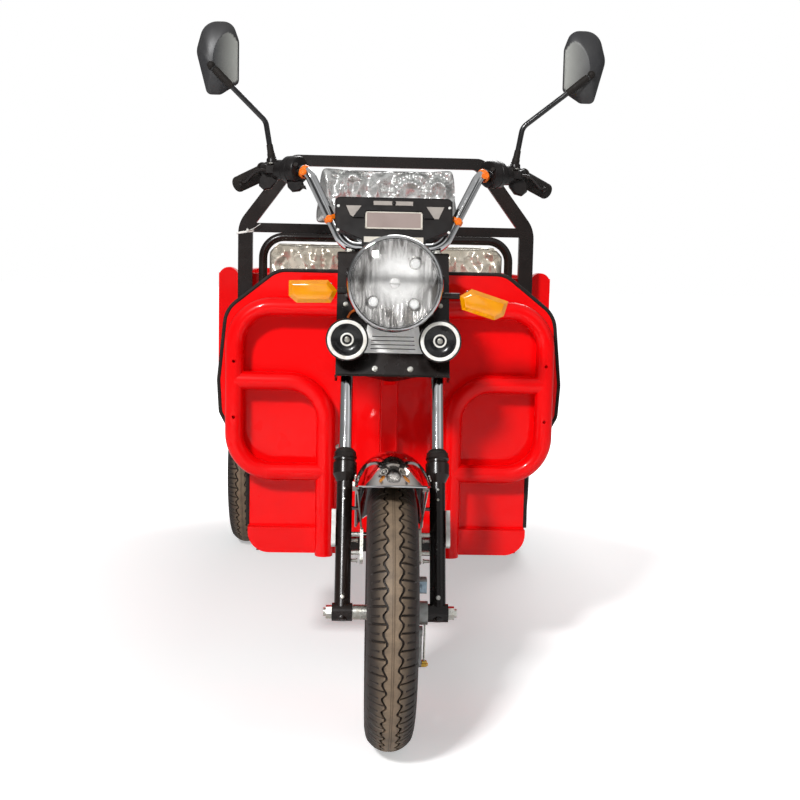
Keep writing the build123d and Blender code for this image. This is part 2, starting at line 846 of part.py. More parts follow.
# Hoop: a flat-sided tube arch behind the driver with a cross bar
hoop_inner_top_z = hoop_top_z - hoop_bar
with BuildPart() as hoop_frame:
    with BuildSketch(upright(hoop_y + hoop_depth / 2)):
        with BuildLine():
            FilletPolyline(
                (-hoop_half_width, frame_top_z + seat_gap),
                (-hoop_half_width, hoop_shoulder_z + 35),
                (-hoop_top_half - 8, hoop_top_z),
                (hoop_top_half + 8, hoop_top_z),
                (hoop_half_width, hoop_shoulder_z + 35),
                (hoop_half_width, frame_top_z + seat_gap),
                radius=(80, 40, 40, 80),
            )
            Line((hoop_half_width, frame_top_z + seat_gap), (-hoop_half_width, frame_top_z + seat_gap))
        make_face()
        with BuildLine():
            FilletPolyline(
                (hoop_tube - hoop_half_width, frame_top_z + seat_gap),
                (hoop_tube - hoop_half_width, hoop_shoulder_z + 24),
                (14 - hoop_top_half, hoop_inner_top_z),
                (hoop_top_half - 14, hoop_inner_top_z),
                (hoop_half_width - hoop_tube, hoop_shoulder_z + 24),
                (hoop_half_width - hoop_tube, frame_top_z + seat_gap),
                radius=(45, 15, 15, 45),
            )
            Line(
                (hoop_half_width - hoop_tube, frame_top_z + seat_gap),
                (hoop_tube - hoop_half_width, frame_top_z + seat_gap),
            )
        make_face(mode=Mode.SUBTRACT)
    extrude(amount=hoop_depth)
    with BuildSketch(upright(hoop_y + hoop_depth / 2 - 2)):
        with Locations((0, cross_bar_z)):
            Rectangle(2 * (hoop_half_width - hoop_tube) + 4, cross_bar_height)
    extrude(amount=hoop_depth - 4)
finish(hoop_frame.part, "hoop_frame")

# Lower backrest: a cushion inside a bent tube frame that stands on the cargo frame
frame_tube_radius = 11
frame_half_width = 318
backrest_frame_y = hoop_y - hoop_depth / 2 - frame_tube_radius - slip
backrest_frame_top_z = cross_bar_z - cross_bar_height / 2 - 11
backrest_low_z = 640
frame_arch = round_tube(
    (
        (-frame_half_width, backrest_frame_y, frame_top_z + seat_gap),
        (-frame_half_width, backrest_frame_y, backrest_frame_top_z),
        (frame_half_width, backrest_frame_y, backrest_frame_top_z),
        (frame_half_width, backrest_frame_y, frame_top_z + seat_gap),
    ),
    frame_tube_radius,
    55,
)
with BuildPart() as backrest_frame:
    add(frame_arch)
    with BuildSketch(side_plane(-frame_half_width)):
        with Locations((backrest_frame_y, backrest_low_z - frame_tube_radius - slip)):
            Circle(frame_tube_radius - 2)
    extrude(amount=2 * frame_half_width)
finish(backrest_frame.part, "backrest_frame")

with BuildPart() as lower_backrest:
    with BuildSketch(upright(backrest_front_y + backrest_thickness)):
        with Locations((0, (backrest_low_z + backrest_frame_top_z - frame_tube_radius - slip) / 2)):
            RectangleRounded(
                2 * (frame_half_width - frame_tube_radius - slip),
                backrest_frame_top_z - frame_tube_radius - slip - backrest_low_z,
                44,
            )
    extrude(amount=backrest_thickness)
    fillet(lower_backrest.faces().sort_by(Axis.Y)[0].edges(), 16)
finish(lower_backrest.part, "lower_backrest")

# Upper backrest: a cushion held between the hoop's top bar and the cross bar
upper_low_z = cross_bar_z + cross_bar_height / 2 + slip
upper_high_z = hoop_inner_top_z - slip
with BuildPart() as upper_backrest:
    with BuildSketch(upright(hoop_y + 16)):
        with BuildLine():
            Polyline(
                (-196, upper_low_z), (-180, upper_high_z), (180, upper_high_z), (196, upper_low_z), close=True
            )
        make_face()
    extrude(amount=44)
    fillet(upper_backrest.faces().sort_by(Axis.Y)[0].edges(), 12)
finish(upper_backrest.part, "upper_backrest")

# Cargo floor, front panel and sides: ribbed sheets with rails and rounded corner posts
box_half = box_width / 2
deck_front_y = box_front_y + corner_post + seat_gap
with BuildPart() as cargo_floor:
    with BuildSketch(Plane.XY.offset(floor_z - box_floor_thickness)):
        with Locations((0, (deck_front_y + box_rear_y) / 2)):
            Rectangle(2 * (box_half - side_thickness - seat_gap), box_rear_y - deck_front_y)
    extrude(amount=box_floor_thickness)
finish(cargo_floor.part, "cargo_floor")

for side, side_name in ((1, "left"), (-1, "right")):
    with BuildPart() as cargo_side:
        with BuildSketch(Plane.XY.offset(floor_z - box_floor_thickness)):
            with Locations((side * (box_half - side_thickness + 3), (box_front_y + box_rear_y) / 2)):
                Rectangle(6, box_length)
            for rib in range(9):
                rib_y = box_front_y + corner_post + 45 + rib * (box_length - corner_post - 110) / 8
                with Locations((side * (box_half - side_thickness + 9), rib_y)):
                    Rectangle(18, 44)
        extrude(amount=side_top_z - floor_z + box_floor_thickness)
        for rail_low, rail_high in ((floor_z - box_floor_thickness, floor_z + 20), (side_top_z - 30, side_top_z)):
            with BuildSketch(Plane.XY.offset(rail_low)):
                with Locations((side * (box_half - side_thickness / 2), (box_front_y + box_rear_y) / 2)):
                    Rectangle(side_thickness, box_length)
            extrude(amount=rail_high - rail_low)
        with BuildSketch(upright(box_front_y + corner_post)):
            with BuildLine():
                Polyline(
                    (side * (box_half - corner_post), floor_z - box_floor_thickness),
                    (side * (box_half - corner_post), corner_top_z - corner_post / 2),
                )
                ThreePointArc(
                    (side * (box_half - corner_post), corner_top_z - corner_post / 2),
                    (side * (box_half - corner_post / 2), corner_top_z),
                    (side * box_half, corner_top_z - corner_post / 2),
                )
                Polyline(
                    (side * box_half, corner_top_z - corner_post / 2),
                    (side * box_half, floor_z - box_floor_thickness),
                    (side * (box_half - corner_post), floor_z - box_floor_thickness),
                )
            make_face()
        extrude(amount=corner_post)
    finish(cargo_side.part, f"cargo_side_{side_name}")

with BuildPart() as cargo_front_panel:
    panel_half = box_half - corner_post - seat_gap
    panel_low_z = floor_z - box_floor_thickness
    with BuildSketch(upright(box_front_y + 26)):
        with Locations((0, (panel_low_z + side_top_z) / 2)):
            Rectangle(2 * panel_half, side_top_z - panel_low_z)
    extrude(amount=6)
    with BuildSketch(upright(box_front_y + corner_post)):
        with Locations((0, (panel_low_z + floor_z) / 2)):
            Rectangle(2 * panel_half, floor_z - panel_low_z)
    extrude(amount=corner_post)
    with BuildSketch(upright(box_front_y + 26)):
        for bar_z in (floor_z + 16, (floor_z + side_top_z) / 2, side_top_z - 15):
            with Locations((0, bar_z)):
                Rectangle(2 * panel_half, 30)
    extrude(amount=20)
finish(cargo_front_panel.part, "cargo_front_panel")

# Tailgate: a ribbed gate on three hinge barrels along its lower edge
gate_low_z = floor_z + 5
gate_half = box_half - 4
with BuildPart() as tailgate:
    with BuildSketch(upright(box_rear_y + tailgate_gap + 10)):
        with Locations((0, (gate_low_z + side_top_z) / 2)):
            Rectangle(2 * gate_half, side_top_z - gate_low_z)
    extrude(amount=10)
    with BuildSketch(upright(box_rear_y + tailgate_gap + tailgate_thickness)):
        with Locations((0, (gate_low_z + side_top_z) / 2)):
            Rectangle(2 * gate_half, side_top_z - gate_low_z)
            Rectangle(2 * gate_half - 60, side_top_z - gate_low_z - 60, mode=Mode.SUBTRACT)
        with GridLocations(2 * gate_half / 6, 1, 5, 1):
            with Locations((0, (gate_low_z + side_top_z) / 2)):
                Rectangle(44, side_top_z - gate_low_z)
    extrude(amount=tailgate_thickness - 8)
    for hinge_place in (-hinge_x, 0, hinge_x):
        with BuildSketch(side_plane(hinge_place - lug_inner + 0.5)):
            with Locations((hinge_y, hinge_z)):
                Circle(hinge_barrel_radius)
            with Locations((hinge_y, (hinge_z + gate_low_z + 4) / 2)):
                Rectangle(12, gate_low_z + 4 - hinge_z)
            with Locations((hinge_y, hinge_z)):
                Circle(hinge_pin_radius + slip, mode=Mode.SUBTRACT)
        extrude(amount=2 * lug_inner - 1)
finish(tailgate.part, "tailgate")

# Rear axle: the tube with the gear case and motor drum on it, brake plates and wheel spindles
plate_half = rear_track / 2 - hub_half - running_gap
with BuildPart() as rear_axle:
    with BuildSketch(Plane(origin=(0, rear_y, tyre_radius), x_dir=(1, 0, 0), z_dir=(0, -1, 0))):
        with BuildLine():
            Polyline(
                (-rear_track / 2 - tyre_width / 2 + 3, 0),
                (-rear_track / 2 - tyre_width / 2 + 3, spindle_radius),
                (-plate_half - 4, spindle_radius),
                (-plate_half - 4, 20),
                (-plate_half, 20),
                (-plate_half, drum_radius - 1),
                (6 - plate_half, drum_radius - 1),
                (6 - plate_half, axle_tube_radius),
                (-motor_length / 2 - 24, axle_tube_radius),
                (-motor_length / 2, motor_radius - 8),
                (-motor_length / 2 + 12, motor_radius),
                (-20, motor_radius),
                (-14, motor_radius - 14),
                (motor_length / 2, motor_radius - 14),
                (motor_length / 2 + 10, axle_tube_radius),
                (plate_half - 6, axle_tube_radius),
                (plate_half - 6, drum_radius - 1),
                (plate_half, drum_radius - 1),
                (plate_half, 20),
                (plate_half + 4, 20),
                (plate_half + 4, spindle_radius),
                (rear_track / 2 + tyre_width / 2 - 3, spindle_radius),
                (rear_track / 2 + tyre_width / 2 - 3, 0),
                close=True,
            )
        make_face()
    revolve(axis=Axis((0, rear_y, tyre_radius), (1, 0, 0)))
    for side in (-1, 1):
        with BuildSketch(Plane.XY.offset(tyre_radius)):
            with Locations((side * spring_x, rear_y)):
                Rectangle(spring_width, 70)
        extrude(amount=spring_bottom_z - tyre_radius - seat_gap)
finish(rear_axle.part, "rear_axle")

# Leaf springs: stacked leaves bent to one centre, eyes at the ends of the longest
with BuildPart() as leaf_springs:
    for side in (-1, 1):
        for leaf in range(leaf_count):
            leaf_half = spring_half_length - leaf * 62
            with BuildSketch(side_plane(side * spring_x - spring_width / 2)):
                with Locations((rear_y, spring_centre_z)):
                    Circle(spring_radius + (leaf + 1) * spring_leaf)
                    Circle(spring_radius + leaf * spring_leaf, mode=Mode.SUBTRACT)
                with Locations((rear_y, spring_centre_z - spring_radius)):
                    Rectangle(2 * leaf_half, spring_radius, mode=Mode.INTERSECT)
            extrude(amount=spring_width)
        with BuildSketch(side_plane(side * spring_x - spring_width / 2)):
            with Locations((spring_front_y, eye_z), (spring_rear_y, eye_z)):
                Circle(eye_radius)
        extrude(amount=spring_width)
finish(leaf_springs.part, "leaf_springs")

# Tail lamps under the cargo floor's back corners
tail_lamp_width = 120
tail_lamp_gap = 30
tail_lamp_x = frame_rail_x + frame_rail_width / 2 + tail_lamp_gap + tail_lamp_width / 2
with BuildPart() as tail_lamps:
    for side in (-1, 1):
        with BuildSketch(upright(box_rear_y - 4)):
            with Locations((side * tail_lamp_x, frame_top_z - cross_height - 28)):
                RectangleRounded(tail_lamp_width, 50, 8)
        extrude(amount=28)
        with BuildSketch(Plane.XY.offset(frame_top_z - cross_height - 6)):
            with Locations((side * tail_lamp_x, box_rear_y - 20)):
                Rectangle(40, 20)
        extrude(amount=6 - seat_gap)
finish(tail_lamps.part, "tail_lamps")

# Brake pedal: a pad on an arm that rises from the footboard
pedal_y = footboard_rear_y - 148
pedal_x = -150
pedal_low_z = floor_high + footboard_thickness + 2 * seat_gap
with BuildPart() as brake_pedal:
    with BuildSketch(Plane.XY.offset(pedal_low_z)):
        with Locations((pedal_x, pedal_y)):
            RectangleRounded(44, 60, 5)
    extrude(amount=5)
    with BuildSketch(side_plane(pedal_x - 5)):
        with BuildLine():
            Polyline(
                (pedal_y + 14, pedal_low_z),
                (pedal_y - 28, pedal_low_z + 70),
                (pedal_y - 40, pedal_low_z + 66),
                (pedal_y - 2, pedal_low_z),
                close=True,
            )
        make_face()
    extrude(amount=10)
    with BuildSketch(Plane(origin=(pedal_x, pedal_y - 34, pedal_low_z + 68), x_dir=(1, 0, 0), z_dir=(0, 0.5, 1))):
        RectangleRounded(56, 44, 5)
    extrude(amount=6)
finish(brake_pedal.part, "brake_pedal")

# Handlebar: one bent bar held by two risers on the upper clamp
bar_back = leg_back
bar_up = (bar_low_z - steer_foot.Z + bar_back * sin(rake)) / cos(rake)
bar_low = raked(0, bar_back, bar_up)
bar_corner = Vector(bar_top_half, bar_low.Y + 30, bar_top_z)
bar_elbow = Vector(262, bar_low.Y + 98, bar_top_z + 2)
bar_end = Vector(bar_end_half, bar_low.Y + 150, bar_end_z)


def mirrored(point, side):
    """The same point on the other side of the vehicle when side is -1."""
    return Vector(side * point.X, point.Y, point.Z)


bar_low_corner = Vector(bar_low_half, bar_low.Y, bar_low.Z)
bar_route = [bar_end, bar_elbow, bar_corner, bar_low_corner]
handlebar = round_tube(
    bar_route + [mirrored(point, -1) for point in reversed(bar_route)],
    bar_radius,
    (30, 32, 42, 42, 32, 30),
)
finish(handlebar, "handlebar")

riser_low = upper_clamp_low + clamp_thickness + seat_gap
with BuildPart() as bar_risers:
    for side in (-1, 1):
        with BuildSketch(across_steering(riser_low)):
            with Locations((side * 34, bar_back)):
                RectangleRounded(22, 34, 4)
        extrude(amount=bar_up + bar_radius + 7 - riser_low)
    with BuildSketch(side_plane(-60)):
        with Locations((bar_low.Y, bar_low.Z)):
            Circle(bar_radius + seat_gap)
    extrude(amount=120, mode=Mode.SUBTRACT)
finish(bar_risers.part, "bar_risers")

# Grips and hand controls on each end of the bar
grip_run = (bar_end - bar_elbow).normalized()
inner_run = (bar_elbow - bar_corner).normalized()
with BuildPart() as grips:
    for side in (-1, 1):
        run = mirrored(grip_run, side)
        with BuildSketch(Plane(origin=mirrored(bar_elbow + grip_run * 9, side), z_dir=run)):
            Circle(grip_radius + 4)
            Circle(bar_radius + seat_gap, mode=Mode.SUBTRACT)
        extrude(amount=4)
        with BuildSketch(Plane(origin=mirrored(bar_elbow + grip_run * 9, side), z_dir=run)):
            Circle(grip_radius)
            Circle(bar_radius + seat_gap, mode=Mode.SUBTRACT)
        extrude(amount=(bar_end - bar_elbow).length - 8.8)
        with BuildSketch(Plane(origin=mirrored(bar_end + grip_run * seat_gap, side), z_dir=run)):
            Circle(grip_radius)
        extrude(amount=5)
finish(grips.part, "grips")

switch_radius = 26
perch_radius = 21
switch_centre = bar_corner + inner_run * 38
perch_centre = bar_corner + inner_run * 76
for side, side_name in ((1, "left"), (-1, "right")):
    run = mirrored(inner_run, side)
    lever = round_tube(
        (
            mirrored(perch_centre + Vector(0, -24, -2), side),
            mirrored(bar_elbow + Vector(14, -34, -8), side),
            mirrored(bar_end + Vector(-4, -36, -14), side),
        ),
        4.5,
        30,
    )
    with BuildPart() as hand_control:
        with BuildSketch(Plane(origin=mirrored(switch_centre - inner_run * 17, side), z_dir=run)):
            Circle(switch_radius)
            Circle(bar_radius + seat_gap, mode=Mode.SUBTRACT)
        extrude(amount=34)
        with BuildSketch(Plane(origin=mirrored(switch_centre + inner_run * 17, side), z_dir=run)):
            Circle(perch_radius)
            Circle(bar_radius + seat_gap, mode=Mode.SUBTRACT)
        extrude(amount=34)
        with BuildSketch(Plane(origin=mirrored(perch_centre, side), x_dir=(side, 0, 0), z_dir=(0, -1, 0))):
            RectangleRounded(26, 20, 4)
        extrude(amount=30)
        with BuildSketch(Plane(origin=mirrored(perch_centre, side))):
            Circle(11)
        extrude(amount=24)
        with BuildSketch(Plane(origin=mirrored(bar_corner, side), z_dir=run)):
            Circle(bar_radius + seat_gap)
        extrude(amount=(bar_elbow - bar_corner).length, mode=Mode.SUBTRACT)
        add(lever)
    finish(hand_control.part, f"hand_control_{side_name}")

# Mirrors: a bent stem, a domed shell on its end and the glass set in its back
mirror_y = perch_centre.Y + 8
stem_foot = perch_centre + Vector(0, 0, 24 + seat_gap)
stem_knee = Vector(perch_centre.X + 10, perch_centre.Y + 2, mirror_z - 122)
shell_depth = 24
mirror_corners = ((-42, -50), (-42, 36), (-28, 75), (30, 75), (47, 14), (24, -74), (-4, -74))
mirror_bends = (12, 30, 26, 36, 40, 12, 12)


def mirror_outline(side, inset):
    """Corners of a mirror head, drawn in from the shell's edge by the inset."""
    mirror_x = mirror_left_x if side == 1 else mirror_right_x
    share_x = 1 - 2 * inset / mirror_width
    share_z = 1 - 2 * inset / mirror_height
    return [(side * (mirror_x + share_x * x), mirror_z + share_z * z) for x, z in mirror_corners]


for side, side_name in ((1, "left"), (-1, "right")):
    stem_start = stem_foot + Vector(0, 0, 3)
    stem_end = Vector((mirror_left_x if side == 1 else mirror_right_x) - 8, mirror_y - 4, mirror_z)
    stem = round_tube(
        (mirrored(stem_start, side), mirrored(stem_knee, side), mirrored(stem_end, side)), 5, 40
    )
    with BuildPart() as mirror:
        add(stem)
        with BuildSketch(Plane(origin=mirrored(stem_foot, side))):
            Circle(10)
        extrude(amount=20, taper=12)
        with BuildSketch(upright(mirror_y + shell_depth)):
            with BuildLine():
                FilletPolyline(*mirror_outline(side, 0), radius=mirror_bends, close=True)
            make_face()
        extrude(amount=shell_depth, taper=16)
        with BuildSketch(upright(mirror_y + shell_depth)):
            with BuildLine():
                FilletPolyline(*mirror_outline(side, 5), radius=mirror_bends, close=True)
            make_face()
        extrude(amount=4, mode=Mode.SUBTRACT)
    finish(mirror.part, f"mirror_{side_name}")

with BuildPart() as mirror_glasses:
    for side in (-1, 1):
        with BuildSketch(upright(mirror_y + shell_depth - 0.5)):
            with BuildLine():
                FilletPolyline(*mirror_outline(side, 5.5), radius=mirror_bends, close=True)
            make_face()
        extrude(amount=3)
finish(mirror_glasses.part, "mirror_glasses")

# Headlamp cowl: a bent cover round the fronts of the fork tubes, ears for the lamp and stalks
ear_inner_x = 87
ear_thickness = 6
stalk_y = front_y + 128
stalk_radius = 6
lens_inner = 46
indicators = ((-1, -155, 838.5, 0), (1, 168, 820, -16))
with BuildPart() as headlamp_cowl:
    with BuildSketch(across_steering(cowl_low)):
        with Locations((0, (leg_back - cowl_front) / 2)):
            Rectangle(2 * cowl_half_width, cowl_front + leg_back)
            Rectangle(2 * (cowl_half_width - cowl_wall), cowl_front + leg_back, mode=Mode.SUBTRACT)
        with Locations((0, -cowl_front + cowl_wall / 2)):
            Rectangle(2 * cowl_half_width, cowl_wall)
    extrude(amount=cowl_high - cowl_low)
    for side in (-1, 1):
        with BuildSketch(side_plane(side * ear_inner_x)):
            with BuildLine():
                Polyline(
                    (lamp_face_y + 20, lamp_z - 20),
                    (front_y + 224, lamp_z - 34),
                    (front_y + 252, lamp_z + 26),
                    (lamp_face_y + 20, lamp_z + 14),
                    close=True,
                )
            make_face()
        extrude(amount=side * ear_thickness)
    for side, centre_x, centre_z, droop in indicators:
        stalk_z = centre_z + 2 * cos(radians(droop)) - side * lens_inner * sin(radians(droop))
        stalk_end_x = abs(centre_x) - lens_inner * cos(radians(droop)) - 2 * sin(radians(droop)) * side
        with BuildSketch(side_plane(side * ear_inner_x)):
            with Locations((stalk_y, stalk_z)):
                Circle(stalk_radius)
        extrude(amount=side * (stalk_end_x - slip - ear_inner_x))
finish(headlamp_cowl.part, "headlamp_cowl")

# Headlamp: a black bucket, a bright bezel and a domed lens, all turned about one level axis
lamp_plane = Plane(origin=(0, 0, lamp_z), x_dir=(1, 0, 0), z_dir=(0, 0, 1))
lamp_axis = Axis((0, 0, lamp_z), (0, 1, 0))
bucket_radius = ear_inner_x - slip
lens_radius = bucket_radius - 2.7
with BuildPart() as headlamp_bucket:
    with BuildSketch(lamp_plane):
        with BuildLine():
            Polyline(
                (0, lamp_face_y + 22),
                (lens_radius + seat_gap, lamp_face_y + 22),
                (lens_radius + seat_gap, lamp_face_y + 18),
                (bucket_radius, lamp_face_y + 18),
                (bucket_radius, lamp_face_y + 46),
                (bucket_radius - 8, lamp_face_y + 70),
                (bucket_radius - 26, lamp_face_y + 92),
                (bucket_radius - 50, lamp_face_y + 106),
                (0, lamp_face_y + 110),
                close=True,
            )
        make_face()
    revolve(axis=lamp_axis)
finish(headlamp_bucket.part, "headlamp_bucket")

with BuildPart() as headlamp_bezel:
    with BuildSketch(lamp_plane):
        with BuildLine():
            Polyline(
                (lens_radius + seat_gap, lamp_face_y + 4),
                (lens_radius + 2, lamp_face_y),
                (bezel_radius - 3, lamp_face_y + 3),
                (bezel_radius, lamp_face_y + 8),
                (bezel_radius, lamp_face_y + 18 - seat_gap),
                (lens_radius + seat_gap, lamp_face_y + 18 - seat_gap),
                close=True,
            )
        make_face()
    revolve(axis=lamp_axis)
finish(headlamp_bezel.part, "headlamp_bezel")

lens_rise = 18
lens_dome_radius = (lens_radius**2 + lens_rise**2) / (2 * lens_rise)
with BuildPart() as headlamp_lens:
    with Locations((0, lamp_face_y - 12 + lens_dome_radius, lamp_z)):
        Sphere(lens_dome_radius)
    with BuildSketch(Plane(origin=(0, lamp_face_y + 20, lamp_z), z_dir=(0, -1, 0))):
        Circle(lens_radius)
    extrude(amount=40, mode=Mode.INTERSECT)
finish(headlamp_lens.part, "headlamp_lens")

# Horns: two turned shells with a rim, a dished face and a short stud to the cowl
horn_face_y = front_y + 118
horn_depth = 34
with BuildPart() as horns:
    for side in (-1, 1):
        horn_plane = Plane(origin=(side * horn_x, 0, horn_z), x_dir=(1, 0, 0), z_dir=(0, 0, 1))
        with BuildSketch(horn_plane):
            with BuildLine():
                Polyline(
                    (0, horn_face_y + 3),
                    (8, horn_face_y + 3),
                    (10, horn_face_y + 7),
                    (24, horn_face_y + 9),
                    (29, horn_face_y + 3),
                    (33, horn_face_y + 2),
                    (36, horn_face_y),
                    (horn_radius, horn_face_y + 2),
                    (horn_radius, horn_face_y + 10),
                    (horn_radius - 8, horn_face_y + 22),
                    (horn_radius - 18, horn_face_y + horn_depth),
                    (0, horn_face_y + horn_depth),
                    close=True,
                )
            make_face()
        revolve(axis=Axis((side * horn_x, 0, horn_z), (0, 1, 0)))
        stud_y = raked(0, -cowl_front, (horn_z - 8 - steer_foot.Z - cowl_front * sin(rake)) / cos(rake)).Y
        with BuildSketch(upright(horn_face_y + horn_depth - 1)):
            with Locations((side * horn_x, horn_z)):
                Circle(8)
        extrude(amount=-(stud_y - slip - horn_face_y - horn_depth + 1))
finish(horns.part, "horns")

# Grille: a slatted plate on the cowl between the horns, hollowed at the top under the lamp
grille_low = 499
grille_high = 556
slat_pitch = 8.4
with BuildPart() as grille:
    with BuildSketch(along_steering(0, -cowl_front - seat_gap)):
        with BuildLine():
            Polyline(
                (-58, grille_low), (58, grille_low), (50, grille_high), (-50, grille_high), close=True
            )
        make_face()
        with Locations((0, grille_high + 70)):
            Circle(86, mode=Mode.SUBTRACT)
        for slat in range(4):
            with Locations((0, grille_low + 8 + slat * slat_pitch)):
                Rectangle(88 - 2 * slat, slat_pitch / 2.4, mode=Mode.SUBTRACT)
    extrude(amount=5)
finish(grille.part, "grille")

# Indicators: faceted amber lenses on stalks from the lamp ears, the right one drooping
lens_depth = 26
with BuildPart() as indicator_lenses:
    for side, centre_x, centre_z, droop in indicators:
        with BuildSketch(
            Plane(
                origin=(centre_x, stalk_y + lens_depth / 2, centre_z),
                x_dir=(cos(radians(droop)), 0, sin(radians(droop))),
                z_dir=(0, -1, 0),
            )
        ):
            with BuildLine():
                Polyline(
                    (side * 46, 20),
                    (side * -28, 22),
                    (side * -lens_inner, 2),
                    (side * -34, -21),
                    (side * 31, -22),
                    (side * 46, -9),
                    close=True,
                )
            make_face()
        extrude(amount=lens_depth - 8)
        extrude(indicator_lenses.faces().sort_by(Axis.Y)[0], amount=8, taper=38)
finish(indicator_lenses.part, "indicator_lenses")

# Instrument panel: a plate in front of the bar with rounded shoulders and two lugs to the bar
panel_back = bar_back - bar_radius - 7
with BuildPart() as instrument_panel:
    with BuildSketch(along_steering(0, panel_back)) as panel_face:
        with BuildLine():
            Polyline(
                (-116, 832), (116, 832), (119, 806), (78, 716), (-78, 716), (-119, 806), close=True
            )
        make_face()
        fillet(panel_face.vertices(), 14)
    extrude(amount=20)
    with BuildSketch(along_steering(0, panel_back)):
        with Locations((-62, bar_up), (62, bar_up)):
            Rectangle(12, 24)
    extrude(amount=-(7 - slip))
finish(instrument_panel.part, "instrument_panel")
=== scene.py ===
"""Looks of an electric cargo tricycle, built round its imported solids.

Metres, +Z up, the vehicle faces -Y and its left side is +X.
"""

from math import cos, pi, radians, sin, sqrt

import bmesh
import bpy
import numpy as np
from mathutils import Matrix, Vector


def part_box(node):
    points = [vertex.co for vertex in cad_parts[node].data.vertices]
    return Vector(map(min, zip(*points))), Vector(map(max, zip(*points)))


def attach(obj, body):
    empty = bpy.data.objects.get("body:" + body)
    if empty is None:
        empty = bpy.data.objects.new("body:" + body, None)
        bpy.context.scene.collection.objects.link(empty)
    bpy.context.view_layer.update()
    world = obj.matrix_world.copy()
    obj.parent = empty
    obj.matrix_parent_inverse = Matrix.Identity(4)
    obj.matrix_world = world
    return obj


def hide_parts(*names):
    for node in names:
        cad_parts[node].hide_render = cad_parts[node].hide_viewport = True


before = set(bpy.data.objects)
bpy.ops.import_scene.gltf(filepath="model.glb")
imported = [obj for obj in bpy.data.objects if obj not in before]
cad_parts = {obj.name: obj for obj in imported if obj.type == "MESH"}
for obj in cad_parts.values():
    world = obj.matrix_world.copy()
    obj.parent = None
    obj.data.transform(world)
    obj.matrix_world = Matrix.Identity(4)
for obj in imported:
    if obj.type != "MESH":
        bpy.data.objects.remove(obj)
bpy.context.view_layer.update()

# Studio: a level white floor under an even white sky, one lamp high over the camera's left
# shoulder, softer ones beside and behind, and the camera where the photographer stood.
front_y = -1.0355
eye_height = 0.91
eye_distance = 2.3
focal_pixels = 1270
image_pixels = 800
sensor = 36
camera_data = bpy.data.cameras.new("camera")
camera_data.sensor_width = sensor
camera_data.lens = focal_pixels / image_pixels * sensor
camera = bpy.data.objects.new("camera", camera_data)
camera.matrix_world = (
    Matrix.Translation((-0.065, front_y - eye_distance, eye_height))
    @ Matrix.Rotation(radians(-1.88), 4, "Z")
    @ Matrix.Rotation(radians(90 - 6.5), 4, "X")
    @ Matrix.Rotation(radians(1.2), 4, "Z")
)
bpy.context.scene.collection.objects.link(camera)
bpy.context.scene.camera = camera
bpy.context.scene.view_settings.view_transform = "Standard"


def colour(code):
    """Linear colour of an sRGB hex code: c / 12.92 up to 0.04045, else ((c + 0.055) / 1.055) ** 2.4."""
    shares = np.array([int(code[place : place + 2], 16) for place in (0, 2, 4)]) / 255
    linear = np.where(shares <= 0.04045, shares / 12.92, ((shares + 0.055) / 1.055) ** 2.4)
    return (*(float(share) for share in linear), 1.0)


def add(tree, kind, inputs=(), **settings):
    """Adds a shader node: settings go on the node, inputs are values, or sockets that are linked."""
    made = tree.nodes.new("ShaderNode" + kind)
    for name, value in settings.items():
        setattr(made, name, value)
    for name, value in dict(inputs).items():
        if isinstance(value, bpy.types.NodeSocket):
            tree.links.new(value, made.inputs[name])
        else:
            made.inputs[name].default_value = value
    return made


world = bpy.data.worlds.new("even_white_sky")
bpy.context.scene.world = world
world.use_nodes = True
sky = world.node_tree
sky.nodes.clear()
rays = add(sky, "LightPath")
seen_white = add(
    sky, "Math", {0: rays.outputs["Is Camera Ray"], 1: rays.outputs["Is Transmission Ray"]}, operation="MAXIMUM"
)
direction = add(sky, "TexCoord")
parts = add(sky, "SeparateXYZ", {0: direction.outputs["Generated"]})
sideways = add(sky, "Math", {0: parts.outputs["X"]}, operation="ABSOLUTE")
bands = add(sky, "ValToRGB", {0: sideways.outputs[0]})
for place, level in (
    (0.0, 0.95), (0.08, 0.9), (0.13, 0.22), (0.3, 0.2), (0.42, 0.05), (0.74, 0.06), (0.9, 0.24), (1.0, 0.22)
):
    stops = bands.color_ramp.elements
    stop = stops.new(place) if 0 < place < 1 else stops[0 if place == 0 else -1]
    stop.color = (level, level, level, 1)
overhead = add(sky, "MapRange", {0: parts.outputs["Z"], 1: 0.35, 2: 0.7, 3: 0.0, 4: 1.0})
reflected = add(sky, "Mix", {0: overhead.outputs[0], 2: bands.outputs[0], 3: 0.6}, data_type="FLOAT")
mirror_light = add(
    sky, "Mix", {0: rays.outputs["Is Glossy Ray"], 2: 0.22, 3: reflected.outputs[0]}, data_type="FLOAT"
)
strength = add(sky, "Mix", {0: seen_white.outputs[0], 2: mirror_light.outputs[0], 3: 1.0}, data_type="FLOAT")
background = add(sky, "Background", {"Color": (1, 1, 1, 1), "Strength": strength.outputs[0]})
add(sky, "OutputWorld", {0: background.outputs[0]})

for lamp_name, place, power, size in (
    ("key_lamp", (-1.7, -4.8, 3.4), 235, 0.6),
    ("fill_lamp", (2.8, -2.4, 2.2), 10, 2.4),
    ("rear_lamp", (0.8, 3.2, 3.8), 120, 2.4),
):
    lamp_data = bpy.data.lights.new(lamp_name, "AREA")
    lamp_data.energy = power
    lamp_data.size = size
    lamp = bpy.data.objects.new(lamp_name, lamp_data)
    lamp.location = place
    lamp.rotation_euler = (Vector((0, 0, 0.5)) - Vector(place)).to_track_quat("-Z", "Y").to_euler()
    bpy.context.scene.collection.objects.link(lamp)


